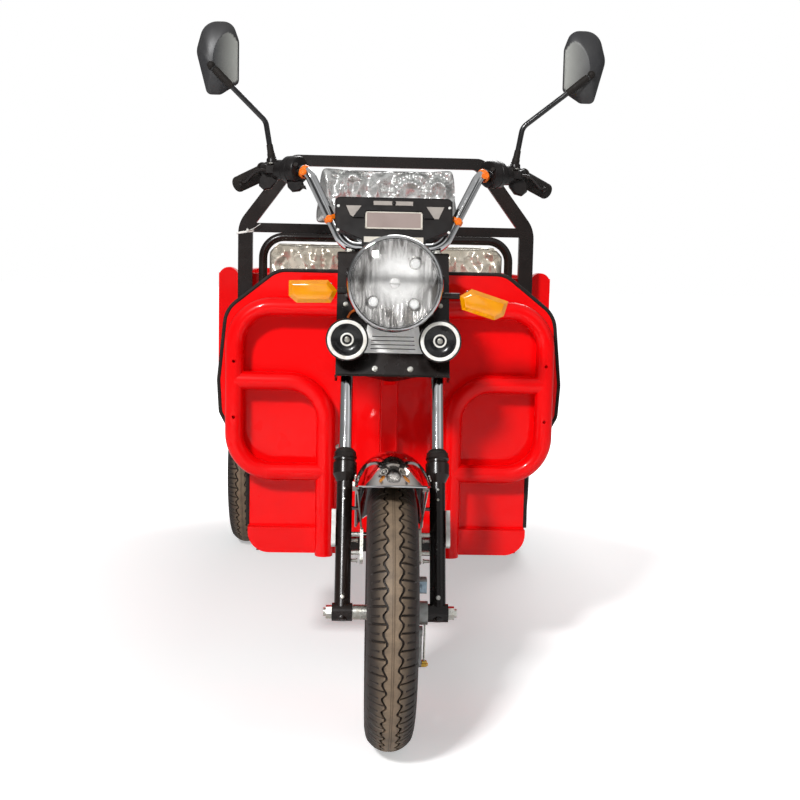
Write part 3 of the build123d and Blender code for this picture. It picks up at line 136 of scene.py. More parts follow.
def new_material(name):
    """A material with its Principled shader and output; returns the material, its tree and the shader."""
    material = bpy.data.materials.new(name)
    material.use_nodes = True
    tree = material.node_tree
    tree.nodes.clear()
    shader = add(tree, "BsdfPrincipled")
    add(tree, "OutputMaterial", {0: shader.outputs[0]})
    return material, tree, shader


floor_material, tree, shader = new_material("white_studio_floor")
shader.inputs["Base Color"].default_value = colour("F2F2F2")
shader.inputs["Roughness"].default_value = 0.9
floor_rays = add(tree, "LightPath")
ground = add(tree, "TexCoord")
away = add(tree, "VectorMath", {0: ground.outputs["Object"]}, operation="LENGTH")
lifted = add(tree, "MapRange", {0: away.outputs["Value"], 1: 1.0, 2: 2.1, 3: 0.38, 4: 0.97})
seen = add(tree, "Math", {0: floor_rays.outputs["Is Camera Ray"], 1: lifted.outputs[0]}, operation="MULTIPLY")
lift = add(tree, "Emission", {"Color": (1, 1, 1, 1), "Strength": seen.outputs[0]})
floor_sum = add(tree, "AddShader", {0: shader.outputs[0], 1: lift.outputs[0]})
tree.links.new(floor_sum.outputs[0], tree.nodes["Material Output"].inputs[0])
floor_mesh = bpy.data.meshes.new("floor")
floor_mesh.from_pydata([(-30, -30, 0), (30, -30, 0), (30, 30, 0), (-30, 30, 0)], [], [(0, 1, 2, 3)])
floor_mesh.materials.append(floor_material)
floor = bpy.data.objects.new("floor", floor_mesh)
bpy.context.scene.collection.objects.link(floor)


# Head frame, leg shields, guard tubes and box panels: welded steel tube and pressed sheet in
# red stoving enamel, which is glossy and slightly uneven from spraying.
def spot(tree, scale_mm, detail=2.0, stretch=(1, 1, 1)):
    """Noise on Object coordinates whose grains are scale_mm across; returns the noise node."""
    place = add(tree, "TexCoord")
    mapping = add(tree, "Mapping", {0: place.outputs["Object"], 3: stretch})
    return add(tree, "TexNoise", {0: mapping.outputs[0], 2: 1000 / scale_mm, 3: detail})


def wear(tree, shader, base, worn, patch_mm, share, rough, rough_spread, grain_mm, grain_bump):
    """Gives a shader two colours mixed by patches, a roughness that wanders and a fine bump."""
    patches = spot(tree, patch_mm, 4.0)
    amount = add(tree, "MapRange", {0: patches.outputs[0], 1: 0.4, 2: 0.75, 3: 0.0, 4: share})
    tint = add(tree, "Mix", {0: amount.outputs[0], 6: colour(base), 7: colour(worn)}, data_type="RGBA")
    tree.links.new(tint.outputs[2], shader.inputs["Base Color"])
    smears = spot(tree, patch_mm / 3, 3.0)
    dull = add(tree, "MapRange", {0: smears.outputs[0], 1: 0.3, 2: 0.7, 3: rough, 4: rough + rough_spread})
    tree.links.new(dull.outputs[0], shader.inputs["Roughness"])
    grain = spot(tree, grain_mm)
    bump = add(tree, "Bump", {"Strength": grain_bump, "Distance": grain_mm / 4000, "Height": grain.outputs[0]})
    tree.links.new(bump.outputs[0], shader.inputs["Normal"])
    return tint


def dress(material, names):
    """Puts a material on CAD nodes."""
    for name in names:
        for material_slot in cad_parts[name].material_slots:
            material_slot.material = material


red_enamel, tree, shader = new_material("red_stoving_enamel")
wear(tree, shader, "F30408", "DC0406", 240, 0.6, 0.26, 0.08, 2.2, 0.04)
shader.inputs["Specular IOR Level"].default_value = 0.08
shader.inputs["Coat Weight"].default_value = 0.26
shader.inputs["Coat Roughness"].default_value = 0.04
dress(
    red_enamel,
    (
        "head_frame", "leg_shield_left", "leg_shield_right", "centre_panel", "guard_left", "guard_right",
        "cargo_side_left", "cargo_side_right", "cargo_front_panel", "tailgate", "seat_box",
    ),
)

# Sprayed black chassis paint: satin, a little brown where road dust lies on it.
black_paint, tree, shader = new_material("black_chassis_paint")
wear(tree, shader, "130D0B", "241813", 120, 0.7, 0.2, 0.12, 1.6, 0.06)
shader.inputs["Specular IOR Level"].default_value = 0.35
dress(
    black_paint,
    (
        "floor_frame", "cargo_frame", "hoop_frame", "backrest_frame", "rear_axle", "steering_stem",
        "fork_sliders", "headlamp_cowl", "brake_pedal", "bar_risers",
    ),
)

# Bright zinc plate on steel: a cool metal whose shine dulls to tan in patches.
zinc_plate, tree, shader = new_material("bright_zinc_plate")
shader.inputs["Metallic"].default_value = 1.0
wear(tree, shader, "C9C8C2", "A39B86", 14, 0.6, 0.24, 0.14, 0.9, 0.1)
dress(zinc_plate, ("front_axle", "mudguard_stays"))

# Chrome plate: a near mirror, with wiped smears 20 mm across.
chrome, tree, shader = new_material("chrome_plate")
shader.inputs["Metallic"].default_value = 1.0
wear(tree, shader, "CACBCD", "ABA8A2", 60, 0.5, 0.05, 0.06, 3.0, 0.02)
dress(chrome, ("fork_tubes", "handlebar"))

# The mudguard is plated outside; its inside is near black, painted shade for the dark under the guard.
# Its skin is a circle of 68.9 mm round a ring of 231.1 mm about the wheel's axis, and a point nearer that
# ring than 68.3 mm is inside.
axle_z = 0.25
guard_ring, guard_section = 0.23109, 0.06891
guard_skin, tree, shader = new_material("plated_mudguard_sheet")
outside = add(tree, "TexCoord")
from_axle = add(tree, "VectorMath", {0: outside.outputs["Object"], 1: (0, -front_y, -axle_z)})
from_axle = add(tree, "VectorMath", {0: from_axle.outputs[0], 1: (0, 1, 1)}, operation="MULTIPLY")
ring_gap = add(tree, "VectorMath", {0: from_axle.outputs[0]}, operation="LENGTH")
ring_gap = add(tree, "Math", {0: ring_gap.outputs["Value"], 1: guard_ring}, operation="SUBTRACT")
across = add(tree, "SeparateXYZ", {0: outside.outputs["Object"]})
offset = add(tree, "CombineXYZ", {0: across.outputs[0], 1: ring_gap.outputs[0]})
reach = add(tree, "VectorMath", {0: offset.outputs[0]}, operation="LENGTH")
plated = add(tree, "Math", {0: reach.outputs["Value"], 1: 0.0683}, operation="GREATER_THAN")
tint = wear(tree, shader, "D9D6D3", "B9A596", 60, 0.7, 0.05, 0.06, 3.0, 0.02)
# Painted shade: points inside the skin get near black 0C0A09 in place of the plate's colour.
skin = add(tree, "Mix", {0: plated.outputs[0], 6: colour("0C0A09"), 7: tint.outputs[2]}, data_type="RGBA")
tree.links.new(skin.outputs[2], shader.inputs["Base Color"])
tree.links.new(plated.outputs[0], shader.inputs["Metallic"])
dress(guard_skin, ("front_mudguard",))

# Vacuum-silvered plastic of the grille: satin and pale. Its weak glow stands for the sun that
# strikes it in the photograph, which the soft studio light lacks.
satin_silver, tree, shader = new_material("satin_silver_plating")
shader.inputs["Metallic"].default_value = 0.15
wear(tree, shader, "F7F6F3", "D8D4CB", 16, 0.6, 0.26, 0.14, 0.9, 0.1)
shader.inputs["Emission Color"].default_value = colour("FFFFFF")
shader.inputs["Emission Strength"].default_value = 0.16
dress(satin_silver, ("grille",))

# Silver wheel paint: metallic flake under lacquer, greyed by brake dust.
wheel_paint, tree, shader = new_material("silver_wheel_paint")
shader.inputs["Metallic"].default_value = 0.6
wear(tree, shader, "A9ABAE", "6F6960", 50, 0.8, 0.34, 0.16, 0.6, 0.12)
dress(wheel_paint, ("rim_front", "rim_rear_left", "rim_rear_right"))

# Sand-cast aluminium: dull grey, with a grain of about a millimetre.
bare_casting, tree, shader = new_material("cast_aluminium")
shader.inputs["Metallic"].default_value = 1.0
wear(tree, shader, "A8A9A8", "7E7A72", 18, 0.6, 0.42, 0.2, 1.2, 0.35)
dress(bare_casting, ("front_brake_plate",))

# Moulded black ABS: a fine spark-eroded grain that keeps the shine soft.
black_plastic, tree, shader = new_material("moulded_black_abs")
wear(tree, shader, "131010", "221A17", 60, 0.5, 0.3, 0.12, 0.8, 0.2)
shader.inputs["Specular IOR Level"].default_value = 0.3
dress(
    black_plastic,
    ("hand_control_left", "hand_control_right", "mirror_left", "mirror_right", "instrument_panel"),
)

# Moulded rubber: matt, browned by dust.
soft_rubber, tree, shader = new_material("moulded_black_rubber")
wear(tree, shader, "16120F", "28211C", 30, 0.7, 0.58, 0.2, 0.7, 0.4)
shader.inputs["Specular IOR Level"].default_value = 0.3
dress(soft_rubber, ("grips", "footboard"))

# Oiled spring steel: dark blue-grey scale with patches of rust brown.
spring_steel, tree, shader = new_material("oiled_spring_steel")
shader.inputs["Metallic"].default_value = 0.7
wear(tree, shader, "2D2B29", "4A3B2E", 40, 0.8, 0.4, 0.2, 1.4, 0.3)
dress(spring_steel, ("leaf_springs",))

# Embossed seat vinyl: a leather-like grain 1.3 mm across, satin.
vinyl, tree, shader = new_material("black_seat_vinyl")
wear(tree, shader, "191817", "2A2725", 90, 0.6, 0.4, 0.12, 1.3, 0.5)
dress(vinyl, ("seat_cushion", "seat_base", "lower_backrest", "upper_backrest", "battery_pack"))

# Amber acrylic: light goes in and comes back orange, hence some transmission, and a weak glow that is painted
# light.
amber_lens, tree, shader = new_material("amber_acrylic")
wear(tree, shader, "FBAA00", "EE8E00", 20, 0.7, 0.1, 0.06, 2.0, 0.1)
shader.inputs["Transmission Weight"].default_value = 0.3
shader.inputs["Emission Color"].default_value = colour("FF9A00")
shader.inputs["Emission Strength"].default_value = 0.05
shader.inputs["Coat Weight"].default_value = 0.5

# Red acrylic: deep colour under a polished face.
red_lens, tree, shader = new_material("red_acrylic")
wear(tree, shader, "B30A0C", "8E0606", 20, 0.6, 0.12, 0.06, 2.0, 0.1)
shader.inputs["Coat Weight"].default_value = 0.6
dress(red_lens, ("tail_lamps",))

# Silvered glass: a mirror with the faint blue of its float glass.
silvered_glass, tree, shader = new_material("silvered_mirror_glass")
shader.inputs["Metallic"].default_value = 1.0
wear(tree, shader, "D8DEE2", "C4CACF", 60, 0.4, 0.02, 0.02, 3.0, 0.01)
dress(silvered_glass, ("mirror_glasses",))

# Deck sheet: the same red enamel, scuffed dull and brown by loads.
deck_steel, tree, shader = new_material("painted_deck_sheet")
wear(tree, shader, "B01416", "6E2A22", 80, 0.9, 0.42, 0.2, 3.0, 0.3)
dress(deck_steel, ("cargo_floor",))


# Edge trim of the leg shields: a black rubber channel pressed over the sheet's raw edge, from
# the top inner corner round the shoulder and waist and down to the folded lip.
def grid_faces(rows, columns, round_rows=False, round_columns=False):
    """Quads of a grid of points, joined end to end in a direction that is round."""
    row = np.arange(rows if round_rows else rows - 1)[:, None]
    column = np.arange(columns if round_columns else columns - 1)[None, :]
    next_row = (row + 1) % rows
    next_column = (column + 1) % columns
    corners = (
        row * columns + column,
        row * columns + next_column,
        next_row * columns + next_column,
        next_row * columns + column,
    )
    return np.stack(corners, axis=-1).reshape(-1, 4).tolist()


def rounded(points, radii, steps=8):
    """Polyline whose corners are arcs: each arc touches both runs at radius * tan(half the turn)."""
    corners = [np.array(point, float) for point in points]
    line = [corners[0]]
    for before, corner, after, radius in zip(corners, corners[1:], corners[2:], radii):
        back = (before - corner) / np.linalg.norm(before - corner)
        ahead = (after - corner) / np.linalg.norm(after - corner)
        half_inside = np.arccos(np.clip(back @ ahead, -1, 1)) / 2
        reach = radius / np.tan(half_inside)
        middle = corner + (back + ahead) / np.linalg.norm(back + ahead) * radius / np.sin(half_inside)
        start = corner + back * reach - middle
        end = corner + ahead * reach - middle
        swing = np.pi - 2 * half_inside
        for share in np.linspace(0, 1, steps):
            arm = np.sin((1 - share) * swing) * start + np.sin(share * swing) * end
            line.append(middle + arm / max(np.sin(swing), 1e-9))
    line.append(corners[-1])
    return np.array(line)


def pipe(points, radius, sides=12, flat=1.0, up=(0, 0, 1), round_path=False):
    """Ring of radius r carried along a line: r * (cos a * across + flat * sin a * normal), ends closed."""
    line = np.array(points, float)
    if round_path:
        ahead = np.roll(line, -1, 0) - np.roll(line, 1, 0)
    else:
        ahead = np.gradient(line, axis=0)
    ahead /= np.linalg.norm(ahead, axis=1)[:, None]
    across = np.cross(ahead, np.array(up, float))
    weak = np.linalg.norm(across, axis=1) < 1e-3
    across[weak] = np.cross(ahead[weak], (1.0, 0.3, 0.2))
    across /= np.linalg.norm(across, axis=1)[:, None]
    normal = np.cross(across, ahead)
    turn = np.arange(sides) * 2 * pi / sides
    reach = np.broadcast_to(radius, len(line))[:, None, None]
    ring = np.cos(turn)[None, :, None] * across[:, None] + flat * np.sin(turn)[None, :, None] * normal[:, None]
    grid = line[:, None] + reach * ring
    if not round_path:
        grid = np.concatenate([
            np.repeat(grid[:1].mean(1, keepdims=True), sides, 1), grid,
            np.repeat(grid[-1:].mean(1, keepdims=True), sides, 1)
        ])
    return grid.reshape(-1, 3), grid_faces(len(grid), sides, round_rows=round_path, round_columns=True)


def joined(parts):
    """One point array and face list from several."""
    points, faces, count = [], [], 0
    for part_points, part_faces in parts:
        points.append(part_points)
        faces += [tuple(corner + count for corner in face) for face in part_faces]
        count += len(part_points)
    return np.concatenate(points), faces


def make(name, shape, material, body, replaced=(), crease=35):
    """Piece from points and faces: doubles merged, faces outwards, edges above the crease angle sharp."""
    mesh = bpy.data.meshes.new(name)
    mesh.from_pydata(shape[0].tolist(), [], shape[1])
    shell = bmesh.new()
    shell.from_mesh(mesh)
    bmesh.ops.remove_doubles(shell, verts=shell.verts, dist=2e-6)
    bmesh.ops.dissolve_degenerate(shell, edges=shell.edges, dist=1e-7)
    bmesh.ops.recalc_face_normals(shell, faces=shell.faces)
    shell.to_mesh(mesh)
    shell.free()
    mesh.shade_smooth()
    mesh.set_sharp_from_angle(angle=radians(crease))
    mesh.materials.append(material)
    piece = bpy.data.objects.new(name, mesh)
    bpy.context.scene.collection.objects.link(piece)
    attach(piece, body)
    if replaced:
        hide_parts(*replaced)
    return piece


shield_y = front_y + 0.39
edge_points = (
    (0.094, 0.8735), (0.2405, 0.8735), (0.347, 0.789), (0.362, 0.64), (0.358, 0.572), (0.2985, 0.461),
    (0.2985, 0.33)
)
edge_radii = (0.055, 0.06, 0.06, 0.025, 0.03)
edge_line = rounded([(x, shield_y + 0.0015, z) for x, z in edge_points], edge_radii)
trim_parts = [pipe(edge_line * (side, 1, 1), 0.0042, 10, 0.8, (0, 1, 0)) for side in (1, -1)]
make("shield_edge_trim", joined(trim_parts), soft_rubber, "chassis")


# Fasteners of the front frame: zinc-plated hexagon bolts on washers, which hold the guard tubes'
# feet to the shields' lips, the shields to the post, and the footboard to the ladder frame.
def turned(profile, centre, axis=(0, 1, 0), side=(1, 0, 0), steps=64, waves=None):
    """Profile of (radius, along) points turned round an axis: centre + along * axis + radius *
    (cos a * side + sin a * (axis x side)); waves(a, radius) may add to the place along the axis."""
    axis = np.array(axis, float) / np.linalg.norm(axis)
    side = np.array(side, float)
    if abs(axis @ side) > 0.9 * np.linalg.norm(side):
        side = np.array([0.0, 1.0, 0.0]) if abs(axis[1]) < 0.9 else np.array([0.0, 0.0, 1.0])
    side = side - axis * (side @ axis)
    side /= np.linalg.norm(side)
    other = np.cross(axis, side)
    radius, along = np.array(profile, float).T
    turn = np.arange(steps) * 2 * pi / steps
    depth = np.broadcast_to(along[:, None], (len(along), steps))
    if waves is not None:
        depth = depth + waves(turn[None, :], radius[:, None])
    spoke = np.cos(turn)[:, None] * side + np.sin(turn)[:, None] * other
    grid = np.array(centre, float) + depth[..., None] * axis + radius[:, None, None] * spoke[None]
    return grid.reshape(-1, 3), grid_faces(len(radius), steps, round_columns=True)


def hex_bolt(seat, axis, size=0.006):
    """Bolt of a thread size on its seat: a washer of 1.05 sizes radius, and a hexagon head 0.65 sizes
    high whose top is chamfered; the thread's end stands 0.15 sizes proud of it."""
    washer = [(0, 0), (1.08, 0), (1.12, 0.04), (1.08, 0.14), (0, 0.14)]
    head = [(0, 0.13), (0.94, 0.13), (0.96, 0.2), (0.96, 0.68), (0.84, 0.78), (0, 0.78)]
    end = [(0.5, 0.7), (0.5, 0.88), (0.42, 0.95), (0, 0.95)]
    return [
        turned(np.array(profile) * size, seat, axis, steps=steps)
        for profile, steps in ((washer, 20), (head, 6), (end, 14))
    ]


def screw(seat, axis, radius=0.004):
    """Pan-head screw: a dome of 0.55 radii with a round socket 0.3 radii deep."""
    dome = [(0.36, 0.55), (0.72, 0.5), (0.93, 0.32), (1.0, 0.05), (1.0, 0), (0, 0)]
    socket = [(0, 0.25), (0.36, 0.25), (0.36, 0.55)]
    return [
        turned(np.array(dome) * radius, seat, axis, steps=20),
        turned(np.array(socket) * radius, seat, axis, steps=20),
    ]


bolt_parts = []
for side in (1, -1):
    for place_z in (0.66, 0.5):
        bolt_parts += hex_bolt((side * 0.106, shield_y - 0.0002, place_z), (0, -1, 0), 0.006)
board_low, board_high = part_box("footboard")
board_top = board_low[2] + 0.004
for place_x in (-0.27, 0.27):
    for place_y in (board_low[1] + 0.012, board_high[1] - 0.012):
        bolt_parts += screw((place_x, place_y, board_top), (0, 0, 1), 0.005)
make("front_frame_bolts", joined(bolt_parts), zinc_plate, "chassis", (), 25)


# Footboard mats and pedal rubber: moulded black rubber with raised ribs, glued to the sheet on
# both sides of the pedal and clipped round the pedal's pad.
def ribbed_mat(low, high, top, pitch, rib, height, base):
    """Mat whose top is a row of ribs along Y: z = base thickness + height on a rib's flat, with sides
    that slope over a quarter of the rib. The outline closes under it as one tube of quads."""
    count = int((high[0] - low[0]) / pitch)
    line = [(low[0], top)]
    for number in range(count):
        start = low[0] + (number + 0.5) * pitch - rib / 2
        for share, lift in ((0, 0), (0.25, 1), (0.75, 1), (1, 0)):
            line.append((start + share * rib, top + base + lift * height))
    line.append((high[0], top))
    line[0:1] = [(low[0], top), (low[0], top + base)]
    line[-1:] = [(high[0], top + base), (high[0], top)]
    section = np.array(line)
    stations = np.array([low[1], low[1] + 0.001, high[1] - 0.001, high[1]])
    points = []
    for place, y in enumerate(stations):
        squeeze = 0.6 if place in (0, 3) else 1.0
        points.append(np.stack([section[:, 0], np.full(len(section), y), top + (section[:, 1] - top) * squeeze], 1))
    faces = grid_faces(4, len(section), round_columns=True)
    faces += [tuple(range(len(section))), tuple(range(3 * len(section), 4 * len(section)))]
    return np.concatenate(points), faces


pedal_rear_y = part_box("brake_pedal")[1][1]
mats = [
    ribbed_mat(
        (0.02, board_low[1] + 0.024), (0.252, board_high[1] - 0.024), board_top, 0.0115, 0.006, 0.0016, 0.0022
    ),
    ribbed_mat(
        (-0.252, pedal_rear_y + 0.006), (-0.02, board_high[1] - 0.024), board_top, 0.0115, 0.006, 0.0016, 0.0022
    ),
]
make("footboard_mats", joined(mats), soft_rubber, "chassis", (), 25)

pad_up = np.array([0, 0.5, 1]) / sqrt(1.25)
pad_back = np.array([0, 1, -0.5]) / sqrt(1.25)
pad_top = np.array([-0.15, board_high[1] - 0.148 - 0.034, board_top + 0.0004 + 0.068]) + pad_up * 0.006
pad_parts = []
for rib in range(5):
    place = pad_top + pad_back * (rib - 2) * 0.0085
    pad_parts.append(
        pipe(
            [place + (x, 0, 0) for x in (-0.0255, -0.0245, 0.0245, 0.0255)], (0.0012, 0.003, 0.003, 0.0012), 10,
            0.6, pad_up
        )
    )
make("pedal_pad_ribs", joined(pad_parts), soft_rubber, "chassis")


# Rear axle fittings: U-bolts that clamp each spring stack to the axle tube over a plate, two
# rebound clips round each stack, shackle bolts, and the motor's bolts and cooling fins.
wheelbase = 1.69
rear_y = front_y + wheelbase
spring_x = 0.285
spring_centre_z = 0.816
leaf_radius = 0.5
clamp_parts, clip_parts, nut_parts = [], [], []
for side in (1, -1):
    for reach in (-0.041, 0.041):
        top = spring_centre_z - sqrt(leaf_radius**2 - reach**2) + 0.0045
        corners = [
            (side * spring_x - 0.0275, rear_y + reach, axle_z - 0.046),
            (side * spring_x - 0.0275, rear_y + reach, top),
            (side * spring_x + 0.0275, rear_y + reach, top),
            (side * spring_x + 0.0275, rear_y + reach, axle_z - 0.046),
        ]
        clamp_parts.append(pipe(rounded(corners, (0.008, 0.008)), 0.0042, 12, 1.0, (0, 1, 0)))
        for lateral in (-0.0275, 0.0275):
            nut_parts += hex_bolt((side * spring_x + lateral, rear_y + reach, axle_z - 0.0385), (0, 0, -1), 0.0065)
    ring = np.array([(-0.036, -0.050), (0.036, -0.050), (0.036, 0.050), (-0.036, 0.050)])
    levels = ((0.98, -0.0385), (1, -0.0375), (1, -0.0315), (0.98, -0.0305))
    points = np.concatenate([np.column_stack([ring * share, np.full(4, height)]) for share, height in levels])
    plate_faces = grid_faces(4, 4, round_columns=True) + [(3, 2, 1, 0), (12, 13, 14, 15)]
    clamp_parts.append((points + (side * spring_x, rear_y, axle_z), plate_faces))
    for reach in (-0.125, 0.125):
        high = spring_centre_z - sqrt(leaf_radius**2 - reach**2) + 0.0012
        low = spring_centre_z - sqrt(0.5215**2 - reach**2) - 0.0012
        loop = [(-0.0245, low), (-0.0245, high), (0.0245, high), (0.0245, low), (-0.0245, low)]
        line = [(side * spring_x + x, rear_y + reach, z) for x, z in loop]
        clip_parts.append(pipe(rounded(line, (0.003,) * 3, 4), 0.0032, 8, 1.0, (0, 1, 0)))
    for end_y in (rear_y - 0.3, rear_y + 0.3):
        for face in (-1, 1):
            seat = (side * spring_x + face * 0.0296, end_y, spring_centre_z - 0.4 - 0.0035)
            nut_parts += hex_bolt(seat, (face, 0, 0), 0.008)
make("spring_u_bolts", joined(clamp_parts), zinc_plate, "chassis", (), 30)
make("spring_clips", joined(clip_parts), black_paint, "chassis")
make("spring_nuts", joined(nut_parts), zinc_plate, "chassis", (), 25)

# Cast aluminium of the drive: fins round the motor, bolts on its end cover and on the gear case.
fin_profile = []
for fin in range(7):
    start = -0.078 + fin * 0.0086
    fin_profile += [(0.0862, start), (0.0915, start + 0.0006), (0.0915, start + 0.0026), (0.0862, start + 0.0036)]
fin_profile += [(0.0862, -0.0175), (0.0855, -0.0175), (0.0855, -0.0785), (0.0862, -0.078)]
make(
    "motor_fins", turned(fin_profile, (0, rear_y, axle_z), (1, 0, 0), (0, 1, 0), 96), bare_casting, "chassis",
    (), 30
)
cover_bolts = []
for step in range(8):
    turn = (step + 0.5) * pi / 4
    spoke = np.array([0, sin(turn), cos(turn)])
    cover_bolts += hex_bolt(np.array([-0.0895, rear_y, axle_z]) + spoke * 0.0815, (-1, 0, 0.0), 0.0052)
    cover_bolts += hex_bolt(np.array([0.0952, rear_y, axle_z]) + spoke * 0.066, (1, 0, 0.0), 0.0052)
make("motor_cover_bolts", joined(cover_bolts), zinc_plate, "chassis", (), 25)


# Cargo box fittings: rope hooks of bent rod welded under the side rails, amber side reflectors
# between the ribs, and on the gate's corners two sliding bolts with the brackets they enter.
box_front_y = 0.0545
box_rear_y = 1.2545
hook_parts = []
for side in (1, -1):
    for number in range(5):
        y = box_front_y + 0.16 + number * 0.225
        corners = [
            (side * 0.4385, y, 0.838), (side * 0.4475, y, 0.838), (side * 0.4475, y, 0.812),
            (side * 0.4405, y, 0.8105)
        ]
        hook_parts.append(pipe(rounded(corners, (0.006, 0.004)), 0.0034, 10, 1.0, (0, 1, 0)))
make("rope_hooks", joined(hook_parts), black_paint, "chassis")

reflector_parts, holder_parts = [], []
for side in (1, -1):
    for number in (0, 7):
        y = box_front_y + 0.052 + 0.045 + (number + 0.5) * 0.12975
        seat = (side * 0.4221, y, 0.70)
        holder = [
            (0, 0), (0.0315, 0), (0.0322, 0.001), (0.0322, 0.0042), (0.0300, 0.0056), (0.0285, 0.0044), (0, 0.0044)
        ]
        holder_parts.append(turned(holder, seat, (side, 0, 0), steps=48))
        dome = [(0, 0.0052), (0.027, 0.0052), (0.0282, 0.0062), (0.0268, 0.0078), (0.012, 0.0086), (0, 0.0088)]
        reflector_parts.append(turned(dome, seat, (side, 0, 0), steps=48))
make("side_reflector_holders", joined(holder_parts), black_plastic, "chassis")
make("side_reflectors", joined(reflector_parts), amber_lens, "chassis")

bolt_parts, bracket_parts = [], []
gate_face_y = box_rear_y + 0.031
for side in (1, -1):
    axis_y, axis_z = gate_face_y + 0.0085, 0.818
    strap_y = gate_face_y + 0.0012
    for shift in (0.352, 0.388, 0.424):
        strap = [(side * shift, strap_y, axis_z - 0.016), (side * shift, strap_y, axis_z - 0.0085),
                 (side * shift, axis_y + 0.0078, axis_z - 0.006), (side * shift, axis_y + 0.0078, axis_z + 0.006),
                 (side * shift, strap_y, axis_z + 0.0085), (side * shift, strap_y, axis_z + 0.016)]
        bolt_parts.append(pipe(rounded(strap, (0.002, 0.005, 0.005, 0.002), 5), 0.0012, 8, 4.5, (1, 0, 0)))
    rod = [
        (side * 0.338, axis_y, axis_z), (side * 0.34, axis_y, axis_z), (side * 0.4335, axis_y, axis_z),
        (side * 0.4355, axis_y, axis_z)
    ]
    bolt_parts.append(pipe(rod, (0.0045, 0.0058, 0.0058, 0.0045), 16))
    knob = [
        (side * 0.37, axis_y, axis_z), (side * 0.37, axis_y + 0.010, axis_z - 0.006),
        (side * 0.37, axis_y + 0.013, axis_z - 0.022), (side * 0.37, axis_y + 0.0132, axis_z - 0.030)
    ]
    bolt_parts.append(pipe(rounded(knob, (0.006, 0.006), 5), 0.0036, 10))
    plate = rounded(
        [
            (box_rear_y - 0.045, 0.804), (box_rear_y + 0.046, 0.804), (box_rear_y + 0.046, 0.832),
            (box_rear_y - 0.045, 0.832)
        ],
        (0.004, 0.004)
    )
    rings = []
    for reach in (0.4402, 0.4432):
        rings.append(np.column_stack([np.full(len(plate), side * reach), plate[:, 0], plate[:, 1]]))
    count = len(plate)
    faces = grid_faces(2, count, round_columns=True) + [tuple(range(count)), tuple(range(count, 2 * count))]
    bracket_parts.append((np.concatenate(rings), faces))
    for y in (box_rear_y - 0.034, box_rear_y - 0.014):
        bracket_parts += hex_bolt((side * 0.4432, y, axis_z), (side, 0, 0), 0.0045)
make("gate_bolts", joined(bolt_parts), zinc_plate, "tailgate", (), 30)
make("gate_bolt_brackets", joined(bracket_parts), zinc_plate, "chassis", (), 30)


# Tail lamps: moulded acrylic with ribs 6 mm apart, a red part and an amber part side by side,
# screwed over black housings under the box's rear corners.
def panel(corners, depth, axis=(0, 1, 0), edge=0.0008):
    """Flat plate with its outline in 3-D: rings pushed along axis by 0 to depth, the outer one drawn in."""
    corners = np.array(corners, float)
    middle = corners.mean(0)
    axis = np.array(axis, float)
    rings = []
    for push, draw in ((0, 0), (depth - edge, 0), (depth, edge)):
        arm = corners - middle
        rings.append(middle + arm * (1 - draw / np.linalg.norm(arm, axis=1)[:, None]) + axis * push)
    count = len(corners)
    faces = grid_faces(3, count, round_columns=True) + [tuple(range(count)), tuple(range(2 * count, 3 * count))]
    return np.concatenate(rings), faces


tail_y = box_rear_y - 0.0038
for lens_name, lens_material, slot, spans in (
    ("tail_lamp_reds", red_lens, "red_lens", (-0.056, 0.018)),
    ("tail_lamp_ambers", amber_lens, "amber_lens", (0.0195, 0.056)),
):
    lens_parts = []
    for side in (1, -1):
        ends = [side * (0.33 + span) for span in spans]
        corners = [
            (ends[0], tail_y, 0.4745), (ends[1], tail_y, 0.4745), (ends[1], tail_y, 0.5175),
            (ends[0], tail_y, 0.5175)
        ]
        lens_parts.append(panel(corners, 0.005))
        count = int(abs(ends[1] - ends[0]) / 0.0062)
        for rib in range(count):
            x = ends[0] + (rib + 0.5) * (ends[1] - ends[0]) / count
            lens_parts.append(
                pipe([(x, tail_y + 0.0048, 0.4765), (x, tail_y + 0.0048, 0.5155)], 0.0024, 8, 1.0, (0, 1, 0))
            )
    make(lens_name, joined(lens_parts), lens_material, "chassis", (), 30)


# Tyres: ribbed cargo tricycle tyres of black rubber, moulded in one piece. A plain rib runs
# round the middle between two zigzag grooves, and slits cut the shoulders into blocks.
tyre_radius = 0.25
tyre_bead = 0.159
tread_pitches = 52
tread_steps = 18


